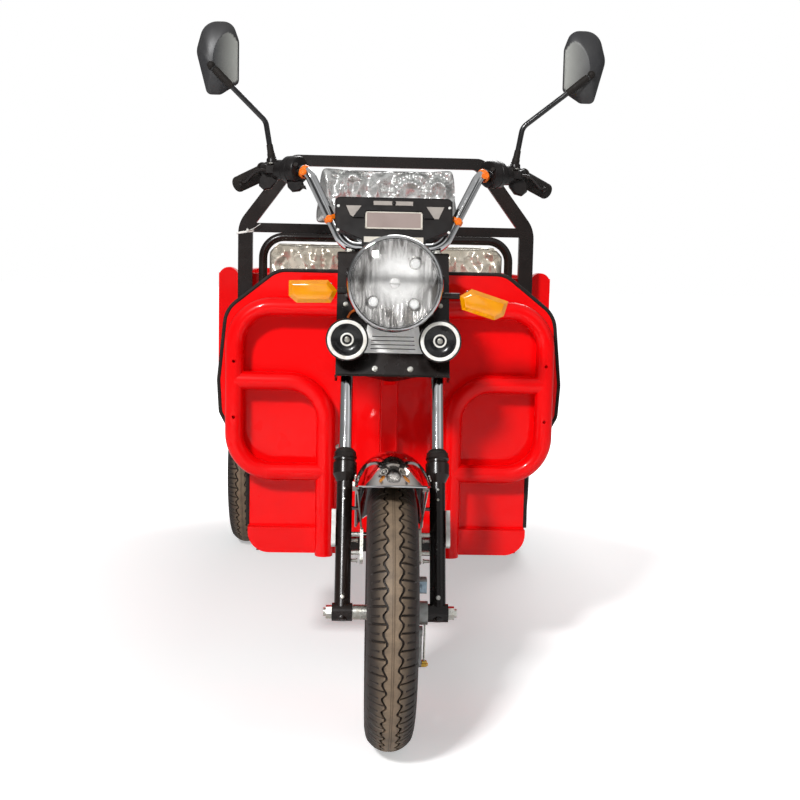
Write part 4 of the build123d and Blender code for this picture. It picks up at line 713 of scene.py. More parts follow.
def tyre_piece(name, centre, body, node_name, seed):
    """Torus grid: angle u round the axle, place v over the section. Rows near a groove are pushed
    sideways by the zigzag a * s(u), s being a skewed triangle wave, so the groove's walls are rows."""
    count = tread_pitches * tread_steps
    turn = np.arange(count) * 2 * pi / count
    phase = np.arange(count) % tread_steps / tread_steps
    zigzag = np.where(phase < 0.62, phase / 0.62, (1 - phase) / 0.38) * 2 - 1
    zigzag = np.clip(zigzag * 1.5, -1, 1) * 0.0036
    groove, half = 0.0135, 0.0022
    inner_rows = np.array([
        0.0, 0.0022, 0.0026, 0.0060, groove - half - 0.0004, groove - half, groove - half + 0.0006
    ])
    outer_rows = np.array([
        groove + half - 0.0006, groove + half, groove + half + 0.0004, 0.0195, 0.0235, 0.0275, 0.0315, 0.035
    ])
    across = np.concatenate([inner_rows, [groove], outer_rows])
    depth = np.zeros(len(across))
    depth[6:9] = 0.0052
    depth[1] = 0.0008
    moved = np.clip(1 - np.abs(across - groove) / 0.0105, 0, 1)
    moved = np.where((across > 0.0058) & (across < 0.02), np.maximum(moved, 0.9), moved)
    moved[:3] = 0
    wall_x = np.array([0.0375, 0.0405, 0.0435, 0.045, 0.0452, 0.0446, 0.0425, 0.039, 0.0355, 0.034])
    wall_r = np.array([0.2300, 0.2245, 0.2160, 0.2060, 0.1960, 0.1870, 0.1780, 0.1690, 0.1620, tyre_bead])
    crown = 0.0466
    side_rows = []
    for side in (1, -1):
        shift = zigzag if side == 1 else np.roll(zigzag, tread_steps // 2)
        slit_phase = phase if side == 1 else np.roll(phase, tread_steps // 2)
        x = across[:, None] + moved[:, None] * shift[None, :]
        r = tyre_radius - crown + np.sqrt(np.maximum(crown**2 - x**2, 0))
        slit = (slit_phase > 0.06) & (slit_phase < 0.17)
        blocks = (across > groove + half)[:, None] & slit[None, :]
        fine = (slit_phase > 0.55) & (slit_phase < 0.62)
        fine_blocks = (across > 0.023)[:, None] & fine[None, :]
        r = r - depth[:, None] - np.where(blocks, 0.0042, 0) - np.where(fine_blocks & ~blocks, 0.002, 0)
        lug = np.where(slit, 0.0, 0.0012)
        rib = np.array([1, 0.6, 0, 0, 0, 0.25, 0, 0, 0, 0])
        walls_x = wall_x[:, None] + rib[:, None] * lug[None, :]
        walls_r = wall_r[:, None] + 0 * lug[None, :]
        side_rows.append((np.concatenate([x, walls_x]) * side, np.concatenate([r, walls_r])))
    x = np.concatenate([side_rows[1][0][:0:-1], side_rows[0][0]])
    r = np.concatenate([side_rows[1][1][:0:-1], side_rows[0][1]])
    well_x = np.array([0.034, 0.0, -0.034])[:, None] + 0 * turn[None, :]
    well_r = np.array([0.1525, 0.1525, 0.1525])[:, None] + 0 * turn[None, :]
    x = np.concatenate([x, well_x])
    r = np.concatenate([r, well_r])
    rows = len(x)
    points = np.stack(
        [centre[0] + x, centre[1] + r * np.sin(turn)[None, :], centre[2] + r * np.cos(turn)[None, :]], axis=-1
    )
    low = np.arange(rows)[:, None] * count
    high = (np.arange(rows)[:, None] + 1) % rows * count
    here = np.arange(count)[None, :]
    following = (here + 1) % count
    faces = np.stack([low + here, high + here, high + following, low + following], axis=-1).reshape(-1, 4)
    mesh = bpy.data.meshes.new(name)
    mesh.from_pydata(points.reshape(-1, 3), [], faces.tolist())
    plain = tyre_radius - crown + np.sqrt(np.maximum(crown**2 - np.minimum(np.abs(x), 0.04) ** 2, 0))
    draws = np.random.default_rng(seed)
    # Share of tan: dust on the crown's top faces, faded out towards the shoulders as painted shade.
    dust_and_shoulder_shade = np.clip(1 - (plain - r) / 0.002, 0, 1) * np.clip((0.0345 - np.abs(x)) / 0.012, 0, 1)
    dust_and_shoulder_shade = dust_and_shoulder_shade * np.where(
        np.abs(x) < groove, 1.0, np.clip(0.66 - 26 * (np.abs(x) - groove), 0, 1)
    ) * (0.85 + 0.15 * draws.random(x.shape))
    worn = mesh.attributes.new("worn", "FLOAT", "POINT")
    worn.data.foreach_set("value", dust_and_shoulder_shade.ravel().astype(np.float32))
    mesh.materials.append(tyre_rubber)
    piece = bpy.data.objects.new(name, mesh)
    bpy.context.scene.collection.objects.link(piece)
    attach(piece, body)
    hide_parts(node_name)
    return piece


# Vulcanised rubber: near black, dull, with road dust rubbed into the top of the tread; that tan fades out towards
# the shoulders as painted shade.
tyre_rubber, tree, shader = new_material("vulcanised_tyre_rubber")
top = add(tree, "Attribute", attribute_name="worn")
dusty = spot(tree, 26, 5.0)
dust = add(tree, "MapRange", {0: dusty.outputs[0], 1: 0.25, 2: 0.7, 3: 0.55, 4: 1.0})
share = add(tree, "Math", {0: top.outputs["Fac"], 1: dust.outputs[0]}, operation="MULTIPLY")
tint = add(tree, "Mix", {0: share.outputs[0], 6: colour("231A15"), 7: colour("8A7660")}, data_type="RGBA")
tree.links.new(tint.outputs[2], shader.inputs["Base Color"])
shader.inputs["Roughness"].default_value = 0.62
grain = spot(tree, 1.1)
bump = add(tree, "Bump", {"Strength": 0.35, "Distance": 0.0004, "Height": grain.outputs[0]})
tree.links.new(bump.outputs[0], shader.inputs["Normal"])

half_track = 0.41
tyre_piece("front_tyre_tread", (0, front_y, tyre_radius), "front_wheel", "tyre_front", 3)
tyre_piece("left_tyre_tread", (half_track, rear_y, tyre_radius), "rear_wheel_left", "tyre_rear_left", 4)
tyre_piece("right_tyre_tread", (-half_track, rear_y, tyre_radius), "rear_wheel_right", "tyre_rear_right", 5)


# Wheel fittings: rubber tyre valves with steel caps through the rims, a ring of bolts that holds
# each disc to its hub, and on the rear wheels a pressed dust cap over the hub's nut.
wheel_places = (
    ("front", "front_wheel", (0, front_y, axle_z), -1),
    ("rear_left", "rear_wheel_left", (half_track, rear_y, axle_z), 1),
    ("rear_right", "rear_wheel_right", (-half_track, rear_y, axle_z), -1),
)
for wheel_name, body, centre, outer in wheel_places:
    centre = np.array(centre, float)
    outwards = np.array([outer, 0, 0], float)
    bolts = []
    for step in range(6):
        turn = step * pi / 3 + 0.2
        spoke = np.array([0, sin(turn), cos(turn)])
        bolts += hex_bolt(centre + spoke * 0.060 + outwards * 0.0032, outwards, 0.0065)
    make(wheel_name + "_hub_bolts", joined(bolts), zinc_plate, body, (), 25)
    spoke = np.array([0, sin(0.55), cos(0.55)])
    foot = centre + spoke * 0.1345 + outwards * 0.006
    tip = centre + spoke * 0.118 + outwards * 0.030
    stem = pipe(
        [foot, foot + (tip - foot) * 0.1, foot + (tip - foot) * 0.2, foot + (tip - foot) * 0.9, tip],
        (0.0066, 0.0062, 0.004, 0.0032, 0.003), 14
    )
    make(wheel_name + "_valve", stem, soft_rubber, body)
    ahead = (tip - foot) / np.linalg.norm(tip - foot)
    valve_cap = [(0, 0), (0.0034, 0), (0.0036, 0.001), (0.0036, 0.006), (0.003, 0.0072), (0, 0.0076)]
    cap = turned(valve_cap, tip - ahead * 0.001, ahead, steps=12)
    make(wheel_name + "_valve_cap", cap, zinc_plate, body, (), 25)
    if wheel_name != "front":
        dome = [
            (0.0125, 0.0352), (0.024, 0.0352), (0.0252, 0.0366), (0.0246, 0.0392), (0.0205, 0.0412),
            (0.0196, 0.0432), (0.0182, 0.0446), (0, 0.0449)
        ]
        make(
            wheel_name + "_hub_cap", turned(dome, centre, outwards, steps=48), zinc_plate, body, (),
            30
        )


# Seat cushion: a foam pad under black vinyl, swollen by cloth simulation, with three sewn
# channels across the top, a welt round its edge, and its cover drawn under the seat base.
def blown(shape, name, voxel=0.0055, pressure=4.0, cap=0.012, keep_flat=None, frames=20):
    """Closed shape turned into an even mesh and swollen as cloth under pressure, with no gravity.
    A point moves by at most cap; keep_flat(points) is 1 where a point may not move at all."""
    mesh = bpy.data.meshes.new(name)
    mesh.from_pydata(shape[0].tolist(), [], shape[1])
    shell = bmesh.new()
    shell.from_mesh(mesh)
    bmesh.ops.recalc_face_normals(shell, faces=shell.faces)
    shell.to_mesh(mesh)
    shell.free()
    pad = bpy.data.objects.new(name, mesh)
    scene = bpy.context.scene
    scene.collection.objects.link(pad)
    remesh = pad.modifiers.new("even", "REMESH")
    remesh.mode = "VOXEL"
    remesh.voxel_size = voxel
    relax = pad.modifiers.new("relax", "SMOOTH")
    relax.factor, relax.iterations = 0.5, 6
    even = bpy.data.meshes.new_from_object(pad.evaluated_get(bpy.context.evaluated_depsgraph_get()))
    pad.modifiers.clear()
    pad.data = even
    start = np.empty(len(even.vertices) * 3)
    even.vertices.foreach_get("co", start)
    start = start.reshape(-1, 3)
    cloth = pad.modifiers.new("swell", "CLOTH")
    cloth.settings.use_pressure = True
    cloth.settings.uniform_pressure_force = pressure
    cloth.settings.effector_weights.gravity = 0
    cloth.settings.quality = 4
    cloth.settings.tension_stiffness = 12
    cloth.settings.compression_stiffness = 12
    cloth.point_cache.frame_start, cloth.point_cache.frame_end = 1, frames
    scene.frame_start, scene.frame_end = 1, frames
    for step in range(1, frames + 1):
        scene.frame_set(step)
    settled = bpy.data.meshes.new_from_object(pad.evaluated_get(bpy.context.evaluated_depsgraph_get()))
    pad.modifiers.clear()
    end = np.empty(len(settled.vertices) * 3)
    settled.vertices.foreach_get("co", end)
    shift = end.reshape(-1, 3) - start
    length = np.maximum(np.linalg.norm(shift, axis=1), 1e-9)
    shift *= (np.tanh(length / cap) * cap / length)[:, None]
    if keep_flat is not None:
        shift *= (1 - keep_flat(start))[:, None]
    even.vertices.foreach_set("co", (start + shift).ravel())
    scene.frame_set(1)
    finer = pad.modifiers.new("finer", "SUBSURF")
    finer.levels = 1
    final = bpy.data.meshes.new_from_object(pad.evaluated_get(bpy.context.evaluated_depsgraph_get()))
    bpy.data.objects.remove(pad)
    return final


def sculpted(mesh, offset):
    """Moves every point of a mesh by offset(points, normals)."""
    count = len(mesh.vertices)
    points, normals = np.empty(count * 3), np.empty(count * 3)
    mesh.vertices.foreach_get("co", points)
    mesh.vertices.foreach_get("normal", normals)
    points, normals = points.reshape(-1, 3), normals.reshape(-1, 3)
    mesh.vertices.foreach_set("co", (points + offset(points, normals)).ravel())
    mesh.update()
    mesh.shade_smooth()


def pad_piece(name, mesh, material, body, node_name):
    """A swollen pad as a piece of its own that replaces its plain solid."""
    mesh.materials.clear()
    mesh.materials.append(material)
    piece = bpy.data.objects.new(name, mesh)
    bpy.context.scene.collection.objects.link(piece)
    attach(piece, body)
    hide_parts(node_name)
    return piece


def round_block(low, high, corner, axis, taper=0.0, steps=7):
    """Block with rounded corners seen along an axis; its far side is drawn in by the taper."""
    a, b = [number for number in range(3) if number != axis]
    half = np.array([(high[a] - low[a]) / 2, (high[b] - low[b]) / 2])
    middle = np.array([(high[a] + low[a]) / 2, (high[b] + low[b]) / 2])
    outline = []
    for quarter, (sign_a, sign_b) in enumerate(((1, 1), (-1, 1), (-1, -1), (1, -1))):
        for turn in np.linspace(quarter * pi / 2, (quarter + 1) * pi / 2, steps):
            outline.append((
                sign_a * (half[0] - corner) + corner * cos(turn), sign_b * (half[1] - corner) + corner * sin(turn)
            ))
    outline = np.array(outline)
    points = []
    for place, drawn in ((low[axis], 0.0), (high[axis], taper)):
        ring = np.zeros((len(outline), 3))
        ring[:, a] = middle[0] + outline[:, 0] * (1 - drawn / half[0])
        ring[:, b] = middle[1] + outline[:, 1] * (1 - drawn / half[1])
        ring[:, axis] = place
        points.append(ring)
    count = len(outline)
    faces = grid_faces(2, count, round_columns=True) + [tuple(range(count)), tuple(range(count, 2 * count))]
    return np.concatenate(points), faces


seat_low, seat_high = (np.array(corner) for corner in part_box("seat_cushion"))
seat_block = round_block(seat_low + (0.008, 0.008, 0.0), seat_high - (0.008, 0.008, 0.009), 0.045, 2, 0.014)
seat_mesh = blown(
    seat_block, "seat_pad", cap=0.009,
    keep_flat=lambda points: np.clip((seat_low[2] + 0.014 - points[:, 2]) / 0.010, 0, 1)
)


def seat_channels(points, normals):
    """Channels cut into the top at three lines along Y, 5 mm * exp(-(distance / 5.5 mm)^2) deep, and a
    welt's groove 24 mm below the top; a shallow dish sinks the middle by up to 6 mm."""
    offset = np.zeros_like(points)
    top = np.clip((normals[:, 2] - 0.3) / 0.4, 0, 1)
    for x in (-0.12, 0.0, 0.12):
        offset[:, 2] -= 0.005 * np.exp(-(((points[:, 0] - x) / 0.0055) ** 2)) * top
    dish = np.clip(1 - (points[:, 0] / 0.24) ** 2, 0, 1) * np.clip(1 - ((points[:, 1] + 0.23) / 0.16) ** 2, 0, 1)
    offset[:, 2] -= 0.006 * dish * top
    groove = np.exp(-(((points[:, 2] - (seat_high[2] - 0.024)) / 0.0028) ** 2))
    side = 1 - np.clip(np.abs(normals[:, 2]) / 0.5, 0, 1)
    return offset - normals * (0.0028 * groove * side)[:, None]


sculpted(seat_mesh, seat_channels)
pad_piece("seat_pad", seat_mesh, vinyl, "seat", "seat_cushion")


# Battery pack in the seat box: a ribbed lid edge, two terminals under red and black caps, and a
# webbing strap that holds the case down. It shows when the seat is tipped forward.
case_low, case_high = (np.array(corner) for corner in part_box("battery_pack"))
battery_case, tree, shader = new_material("battery_case_abs")
wear(tree, shader, "1D1E21", "34302C", 70, 0.6, 0.5, 0.16, 1.4, 0.35)
dress(battery_case, ("battery_pack",))
rim = []
for height in (0.168, 0.174, 0.186):
    corners = [
        (case_low[0], case_low[1]), (case_high[0], case_low[1]), (case_high[0], case_high[1]),
        (case_low[0], case_high[1])
    ]
    line = [(x, y, case_low[2] + height) for x, y in corners]
    loop = rounded(line + line[:2], (0.002,) * 4, 3)[1:-1]
    rim.append(pipe(loop, 0.0022, 8, 1.0, (0, 0, 1), True))
make("battery_lid_ribs", joined(rim), battery_case, "chassis")
terminal_profile = [(0, 0), (0.013, 0), (0.0138, 0.001), (0.0132, 0.011), (0.0112, 0.0128), (0, 0.013)]
for side, cap_name, cap_material, slot in (
    (-1, "battery_cap_minus", black_plastic, "black_plastic"), (1, "battery_cap_plus", red_lens, "red_lens")
):
    place = ((case_low[0] + case_high[0]) / 2 + side * 0.15, case_high[1] - 0.03, case_high[2] + 0.0002)
    make(cap_name, turned(terminal_profile, place, (0, 0, 1), (1, 0, 0), 32), cap_material, "chassis", (), 30)

# Woven polyester webbing: a diagonal twill, its ridges 2 mm apart, which is coarser than real.
webbing, tree, shader = new_material("woven_strap_webbing")
wear(tree, shader, "24262B", "3A3732", 40, 0.6, 0.72, 0.14, 1.2, 0.6)
place = add(tree, "TexCoord")
yarns = add(tree, "TexWave", {0: place.outputs["Object"], 1: 160.0, 2: 0.6}, bands_direction="DIAGONAL")
twill = add(tree, "Bump", {"Strength": 0.6, "Distance": 0.0004, "Height": yarns.outputs[1]})
tree.links.new(shader.inputs["Normal"].links[0].from_socket, twill.inputs["Normal"])
tree.links.new(twill.outputs[0], shader.inputs["Normal"])
line = [
    (0, case_low[1] - 0.0022, case_low[2] + 0.004), (0, case_low[1] - 0.0022, case_high[2] + 0.0022),
    (0, case_high[1] + 0.0022, case_high[2] + 0.0022), (0, case_high[1] + 0.0022, case_low[2] + 0.004),
]
strap = pipe(rounded(line, (0.005, 0.005), 5), 0.0011, 12, 11.4, (1, 0, 0))
make("battery_strap", strap, webbing, "chassis")


# Backrests: foam pads in silvered film covers, swollen by cloth simulation and then pressed into
# folds. The lower one sits in the black tube frame, the upper one between hoop and cross bar.
def creases(points, lines):
    """Height of a set of creases at points (x, z): each line (x0, z0, x1, z1, height, width) is a ridge
    height * (exp(-(d / width)^2) - 0.55 exp(-((d - 2 width) / (1.3 width))^2)), fading at its ends."""
    total = np.zeros(len(points))
    for x0, z0, x1, z1, height, width in lines:
        run = np.array([x1 - x0, z1 - z0])
        length = np.linalg.norm(run)
        away = points - (x0, z0)
        along = np.clip(away @ run / length**2, 0, 1)
        gap = away - along[:, None] * run
        d = np.linalg.norm(gap, axis=1)
        side = np.sign(run[0] * gap[:, 1] - run[1] * gap[:, 0])
        fade = np.sin(np.clip(along * 0.9 + 0.08, 0, 1) * pi) ** 0.5
        total += height * fade * (
            np.exp(-((d / width) ** 2)) - 0.55 * np.exp(-((d - 2 * width) / (1.3 * width)) ** 2) * (side > 0)
        )
    return total


def arch(x, low_z, half, high_z, height, width, steps=9):
    """Crease lines of an upside-down U: two legs and a half ellipse over them."""
    turn = np.linspace(pi, 0, steps)
    top = [(x + half * cos(a), high_z - half * 0.9 + half * 0.9 * sin(a)) for a in turn]
    line = [(x - half * 0.92, low_z)] + top + [(x + half * 0.96, low_z)]
    return [(*start, *end, height, width) for start, end in zip(line, line[1:])]


def film_folds(points, normals, lines, seed, low, high, count):
    """Moves the front of a cover: the drawn creases, a spray of short seeded creases that hang from
    the top edge, and slow waves of 1 mm, about 130 mm long."""
    draws = np.random.default_rng(seed)
    spray = []
    for _ in range(count):
        x = draws.uniform(low[0] + 0.02, high[0] - 0.02)
        z = high[2] - draws.uniform(0.0, 0.06)
        reach = draws.uniform(0.045, 0.10)
        lean = draws.normal(0, 0.4)
        spray.append((
            x, z, x + reach * sin(lean), z - reach * cos(lean), draws.uniform(0.0012, 0.0026),
            draws.uniform(0.007, 0.011)
        ))
    flat = points[:, [0, 2]]
    height = creases(flat, list(lines) + spray)
    height += 0.001 * np.sin(points[:, 0] / 0.021 + 2 * np.sin(points[:, 2] / 0.043)) * np.sin(points[:, 2] / 0.036)
    front = np.clip((-normals[:, 1] - 0.15) / 0.5, 0, 1)
    edge = np.minimum.reduce([
        points[:, 0] - low[0], high[0] - points[:, 0], points[:, 2] - low[2], high[2] - points[:, 2]
    ])
    front = front * np.clip(edge / 0.012, 0.15, 1)
    offset = np.zeros_like(points)
    offset[:, 1] = -height * front
    return offset


# Silvered packing film: a bright mirror-like skin with crinkles 11 mm and 42 mm across, drawn
# coarser than the finest real ones.
def film(name, base, worn):
    """Film material: metallic, low roughness, with two scales of sharp crinkle in its bump."""
    material, tree, shader = new_material(name)
    shader.inputs["Metallic"].default_value = 0.65
    wear(tree, shader, base, worn, 60, 0.6, 0.24, 0.1, 1.6, 0.03)
    place = add(tree, "TexCoord")
    stretch = add(tree, "Mapping", {0: place.outputs["Object"], 3: (1.0, 1.0, 0.45)})
    large = add(tree, "TexVoronoi", {0: stretch.outputs[0], 2: 24.0}, feature="SMOOTH_F1")
    small = add(tree, "TexNoise", {0: stretch.outputs[0], 2: 90.0, 3: 2.0, 8: 0.6})
    rough = add(tree, "Bump", {"Strength": 0.08, "Distance": 0.003, "Height": large.outputs[0]})
    tree.links.new(shader.inputs["Normal"].links[0].from_socket, rough.inputs["Normal"])
    fine = add(
        tree, "Bump", {"Strength": 0.05, "Distance": 0.001, "Height": small.outputs[0], "Normal": rough.outputs[0]}
    )
    tree.links.new(fine.outputs[0], shader.inputs["Normal"])
    return material


warm_film = film("warm_silver_film", "DAD2C2", "A99C86")
cool_film = film("cool_silver_film", "DDDEDC", "A4A5A3")

low, high = (np.array(corner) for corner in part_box("lower_backrest"))
block = round_block(low + (0.001, 0.012, 0.001), high - (0.001, 0.001, 0.001), 0.040, 1)
mesh = blown(
    block, "lower_pad", cap=0.010, keep_flat=lambda points: np.clip((points[:, 1] - high[1] + 0.008) / 0.006, 0, 1)
)

# The drawn creases, as ends (x, z, x, z) in units of 1 / 1381 m, z downwards, and the units' place
# of the pad's middle and top edge.
middle_x, per_metre, top_z = 713, 1381, 862
drawn_creases = (
    (300, 872, 322, 930), (322, 930, 352, 905), (352, 905, 345, 872), (385, 868, 410, 905), (410, 905, 432, 950),
    (432, 950, 440, 990), (470, 868, 455, 930), (455, 930, 470, 985), (505, 868, 500, 900), (530, 870, 520, 940),
    (560, 875, 545, 920), (290, 930, 330, 985), (1010, 868, 1000, 910), (1035, 870, 1040, 930),
    (1060, 868, 1085, 900), (1085, 900, 1120, 880), (975, 880, 985, 930), (985, 930, 1030, 975),
    (1060, 930, 1045, 975), (1100, 925, 1110, 985), (1130, 870, 1140, 940), (955, 880, 962, 960),
)
lines = [
    (
        (a - middle_x) / per_metre, high[2] - (b - top_z) / per_metre,
        (c - middle_x) / per_metre, high[2] - (d - top_z) / per_metre, 0.0085, 0.0108,
    )
    for a, b, c, d in drawn_creases
]
lines += [(x, high[2] - 0.02, x * 0.97, high[2] - 0.15, 0.004, 0.011) for x in np.linspace(-0.09, 0.09, 5)]
sculpted(mesh, lambda points, normals: film_folds(points, normals, lines, 11, low, high, 10))
pad_piece("lower_pad", mesh, warm_film, "chassis", "lower_backrest")

low, high = (np.array(corner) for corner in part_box("upper_backrest"))
block = round_block(low + (0.008, 0.011, 0.002), high - (0.008, 0.001, 0.002), 0.012, 1)
top_edge = high[2]
for point in block[0]:
    point[0] *= 1 - 0.08 * (point[2] - low[2]) / (high[2] - low[2])
mesh = blown(
    block, "upper_pad", 0.0045, cap=0.010,
    keep_flat=lambda points: np.clip((points[:, 1] - high[1] + 0.008) / 0.006, 0, 1)
)

# The same in units of 1 / 1366 m: arches as (x, foot, half width, top), then single creases.
middle_x, per_metre, top_z = 726, 1366, 590
lines = []
drawn_arches = (
    (598, 690, 34, 606), (603, 684, 19, 622), (812, 690, 62, 612), (806, 688, 40, 640), (905, 690, 26, 640),
)
for x, foot, half, crest in drawn_arches:
    foot_z, crest_z = (top_edge - (z - top_z) / per_metre for z in (foot, crest))
    lines += arch((x - middle_x) / per_metre, foot_z, half / per_metre, crest_z, 0.0085, 0.0090)
drawn_creases = (
    (497, 600, 530, 690), (515, 600, 560, 680), (560, 640, 548, 700), (650, 600, 640, 660), (640, 660, 690, 640),
    (690, 640, 745, 602), (700, 640, 690, 690), (880, 605, 905, 640), (930, 605, 925, 690), (950, 605, 945, 690),
    (545, 700, 540, 780), (640, 700, 650, 780), (760, 700, 755, 780), (870, 700, 880, 780),
)
lines += [
    (
        (a - middle_x) / per_metre, top_edge - (b - top_z) / per_metre,
        (c - middle_x) / per_metre, top_edge - (d - top_z) / per_metre, 0.0062, 0.0092,
    )
    for a, b, c, d in drawn_creases
]
sculpted(mesh, lambda points, normals: film_folds(points, normals, lines, 23, low, high, 3))
pad_piece("upper_pad", mesh, cool_film, "chassis", "upper_backrest")


# Cable tie of white nylon round the hoop's right shoulder, with its square head in front and the
# cut end of its strap left long.
tie_white, tree, shader = new_material("white_nylon_tie")
wear(tree, shader, "F2F1EC", "D9D5CA", 15, 0.5, 0.4, 0.1, 0.8, 0.1)
tie_parts = []
hoop_low, hoop_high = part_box("hoop_frame")
half_x, half_y = 0.0215, (hoop_high[1] - hoop_low[1]) / 2 + 0.0016
middle = np.array([-0.3655, (hoop_high[1] + hoop_low[1]) / 2, 0.962])
slope = 0.16
corners = [(-half_x, -half_y), (half_x, -half_y), (half_x, half_y), (-half_x, half_y)]
line = rounded([middle + (a, b, a * slope) for a, b in corners + corners[:2]], (0.003,) * 4, 4)[1:-1]
tie_parts.append(pipe(line, 0.0011, 8, 2.6, (0, 0, 1), True))
head = middle + (half_x * 0.3, -half_y - 0.002, 0.0034)
head_profile = [(0, -0.003), (0.0038, -0.003), (0.0042, -0.002), (0.0042, 0.0025), (0, 0.003)]
tie_parts.append(turned(head_profile, head, (1, 0, slope), (0, 1, 0), 4))
tail = [head + (0.003, -0.001, 0.0005), head + (0.018, -0.008, 0.006), head + (0.034, -0.008, 0.018)]
tie_parts.append(pipe(rounded(tail, (0.02,), 6), 0.0008, 6, 2.4, (0, 1, 0)))
make("hoop_tie", joined(tie_parts), tie_white, "chassis")


# Fork fittings: hexagon caps on the tubes, rubber dust seals on the sliders' collars, drain
# screws, acrylic reflectors, and the brake arm's pull rod with its yellow-zinc adjusting nut.
rake = radians(24)
fork_offset = 0.045
fork_x = 0.089
steer_foot = np.array([0, front_y + fork_offset * cos(rake), axle_z - fork_offset * sin(rake)])
steer_up = np.array([0, sin(rake), cos(rake)])
steer_front = np.array([0, -cos(rake), sin(rake)])


def raked(x, back, up):
    """Point from its side distance, its distance behind the steering axis and its height along it."""
    return steer_foot + np.array([x, 0, 0]) - steer_front * back + steer_up * up


cap_parts, seal_parts, screw_parts, tab_parts = [], [], [], []
for side in (1, -1):
    top = raked(side * fork_x, -fork_offset, 0.7214)
    cap_washer = [(0, 0), (0.0128, 0), (0.0132, 0.0008), (0.0132, 0.003), (0.0118, 0.0042), (0, 0.0042)]
    cap_parts.append(turned(cap_washer, top, steer_up, steps=32))
    cap_nut = [(0, 0.004), (0.0092, 0.004), (0.0094, 0.0046), (0.0094, 0.0096), (0.0084, 0.0108), (0, 0.0108)]
    cap_parts.append(turned(cap_nut, top, steer_up, steps=6))
    collar = raked(side * fork_x, -fork_offset, 0.3028)
    seal = [
        (0.01255, 0.0), (0.0206, 0.0), (0.0212, 0.001), (0.0206, 0.004), (0.0172, 0.0058), (0.0176, 0.0078),
        (0.0152, 0.0104), (0.0132, 0.0112), (0.01255, 0.011)
    ]
    seal_parts.append(turned(seal + seal[:1], collar, steer_up, steps=48))
    screw_parts += screw(raked(side * fork_x, -0.0602, 0.026), steer_front, 0.0045)
    for up in (0.232, 0.212):
        screw_parts += screw(raked(side * fork_x, -0.0602, up), steer_front, 0.0026)
    for up in (0.0995, 0.1385):
        pin_profile = [(0, 0), (0.0032, 0), (0.0032, 0.0095), (0.0046, 0.0097), (0.0046, 0.0124), (0, 0.0128)]
        pin = turned(pin_profile, raked(side * 0.0742, -0.030, up), (-side, 0, 0), steps=14)
        screw_parts.append(pin)
    tab = [
        raked(side * reach, back, 0.196)
        for reach, back in ((0.076, -0.058), (0.062, -0.05), (0.062, -0.036), (0.076, -0.032))
    ]
    tab_parts.append(panel(tab, 0.0026, steer_up, 0.0005))
make("fork_caps", joined(cap_parts), zinc_plate, "steering", (), 25)
make("fork_dust_seals", joined(seal_parts), soft_rubber, "steering")
make("mudguard_tabs", joined(tab_parts), black_paint, "steering", (), 30)
make("fork_screws", joined(screw_parts), zinc_plate, "steering", (), 25)

# Reflector acrylic: white, with 2 mm prisms moulded behind a smooth face.
prism_acrylic, tree, shader = new_material("prismatic_white_reflector")
wear(tree, shader, "E9E8E4", "B5B3AE", 18, 0.7, 0.12, 0.08, 1.5, 0.1)
place = add(tree, "TexCoord")
prisms = add(tree, "TexVoronoi", {0: place.outputs["Object"], 2: 480.0}, feature="F1", distance="MANHATTAN")
cut = add(tree, "Bump", {"Strength": 0.5, "Distance": 0.0008, "Height": prisms.outputs[0]})
tree.links.new(cut.outputs[0], shader.inputs["Normal"])
dress(prism_acrylic, ("fork_reflectors",))

# Brake pull rod of bright zinc beside the wheel, its nut in yellow zinc plate, and over the brake's
# anchor a small cover in pale blue enamel.
yellow_zinc, tree, shader = new_material("yellow_zinc_plate")
shader.inputs["Metallic"].default_value = 0.9
wear(tree, shader, "D9B04A", "A98B4C", 8, 0.7, 0.3, 0.14, 0.7, 0.1)
arm_y = front_y + 0.03
arm_x = 0.0665
rod = [
    (arm_x, arm_y - 0.012, 0.236), (arm_x, arm_y - 0.010, 0.2), (arm_x, arm_y - 0.002, 0.15), (arm_x, arm_y, 0.1365)
]
make("brake_pull_rod", pipe(rod, 0.0021, 10, 1.0, (1, 0, 0)), zinc_plate, "steering")
nut = [(0, 0), (0.0082, 0), (0.0086, 0.0008), (0.0086, 0.0056), (0.0066, 0.0066), (0.0060, 0.0104), (0, 0.0106)]
make(
    "brake_adjuster_nut", turned(nut, (arm_x, arm_y, 0.1385), (0, 0, 1), (1, 0, 0), 6), yellow_zinc, "steering",
    (), 25
)
anchor_y = front_y - 0.0492
anchor = [
    (0.0435, anchor_y, 0.302), (0.0645, anchor_y, 0.302), (0.0645, anchor_y, 0.3225), (0.0435, anchor_y, 0.3225)
]
anchor_parts = [panel(anchor, 0.0024, (0, -1, 0))] + hex_bolt((0.054, anchor_y - 0.0024, 0.312), (0, -1, 0), 0.0045)
anchor_blue, tree, shader = new_material("pale_blue_anchor_enamel")
wear(tree, shader, "B4CCDC", "8FA3B0", 12, 0.6, 0.26, 0.1, 0.8, 0.1)
make("brake_anchor_cover", joined(anchor_parts), anchor_blue, "steering", (), 25)


# Mudguard bead: the sheet's edge rolled round a wire. Its front part follows the level cut,
# where r cos(t) - 0.183 r sin(t) = 0.2385 for a point at angle t ahead of the wheel's top.
def guard_radius_at(x):
    """Radius of the mudguard's skin at a side distance: a circle of 68.9 mm set at 231.1 mm."""
    return guard_ring + np.sqrt(guard_section**2 - np.minimum(np.abs(x), 0.0675) ** 2)


def guard_point(x, ahead):
    """Point on the skin at an angle ahead of the wheel's top."""
    reach = guard_radius_at(x) - 0.0012
    return np.stack([x, front_y - reach * np.sin(ahead), axle_z + reach * np.cos(ahead)], -1)


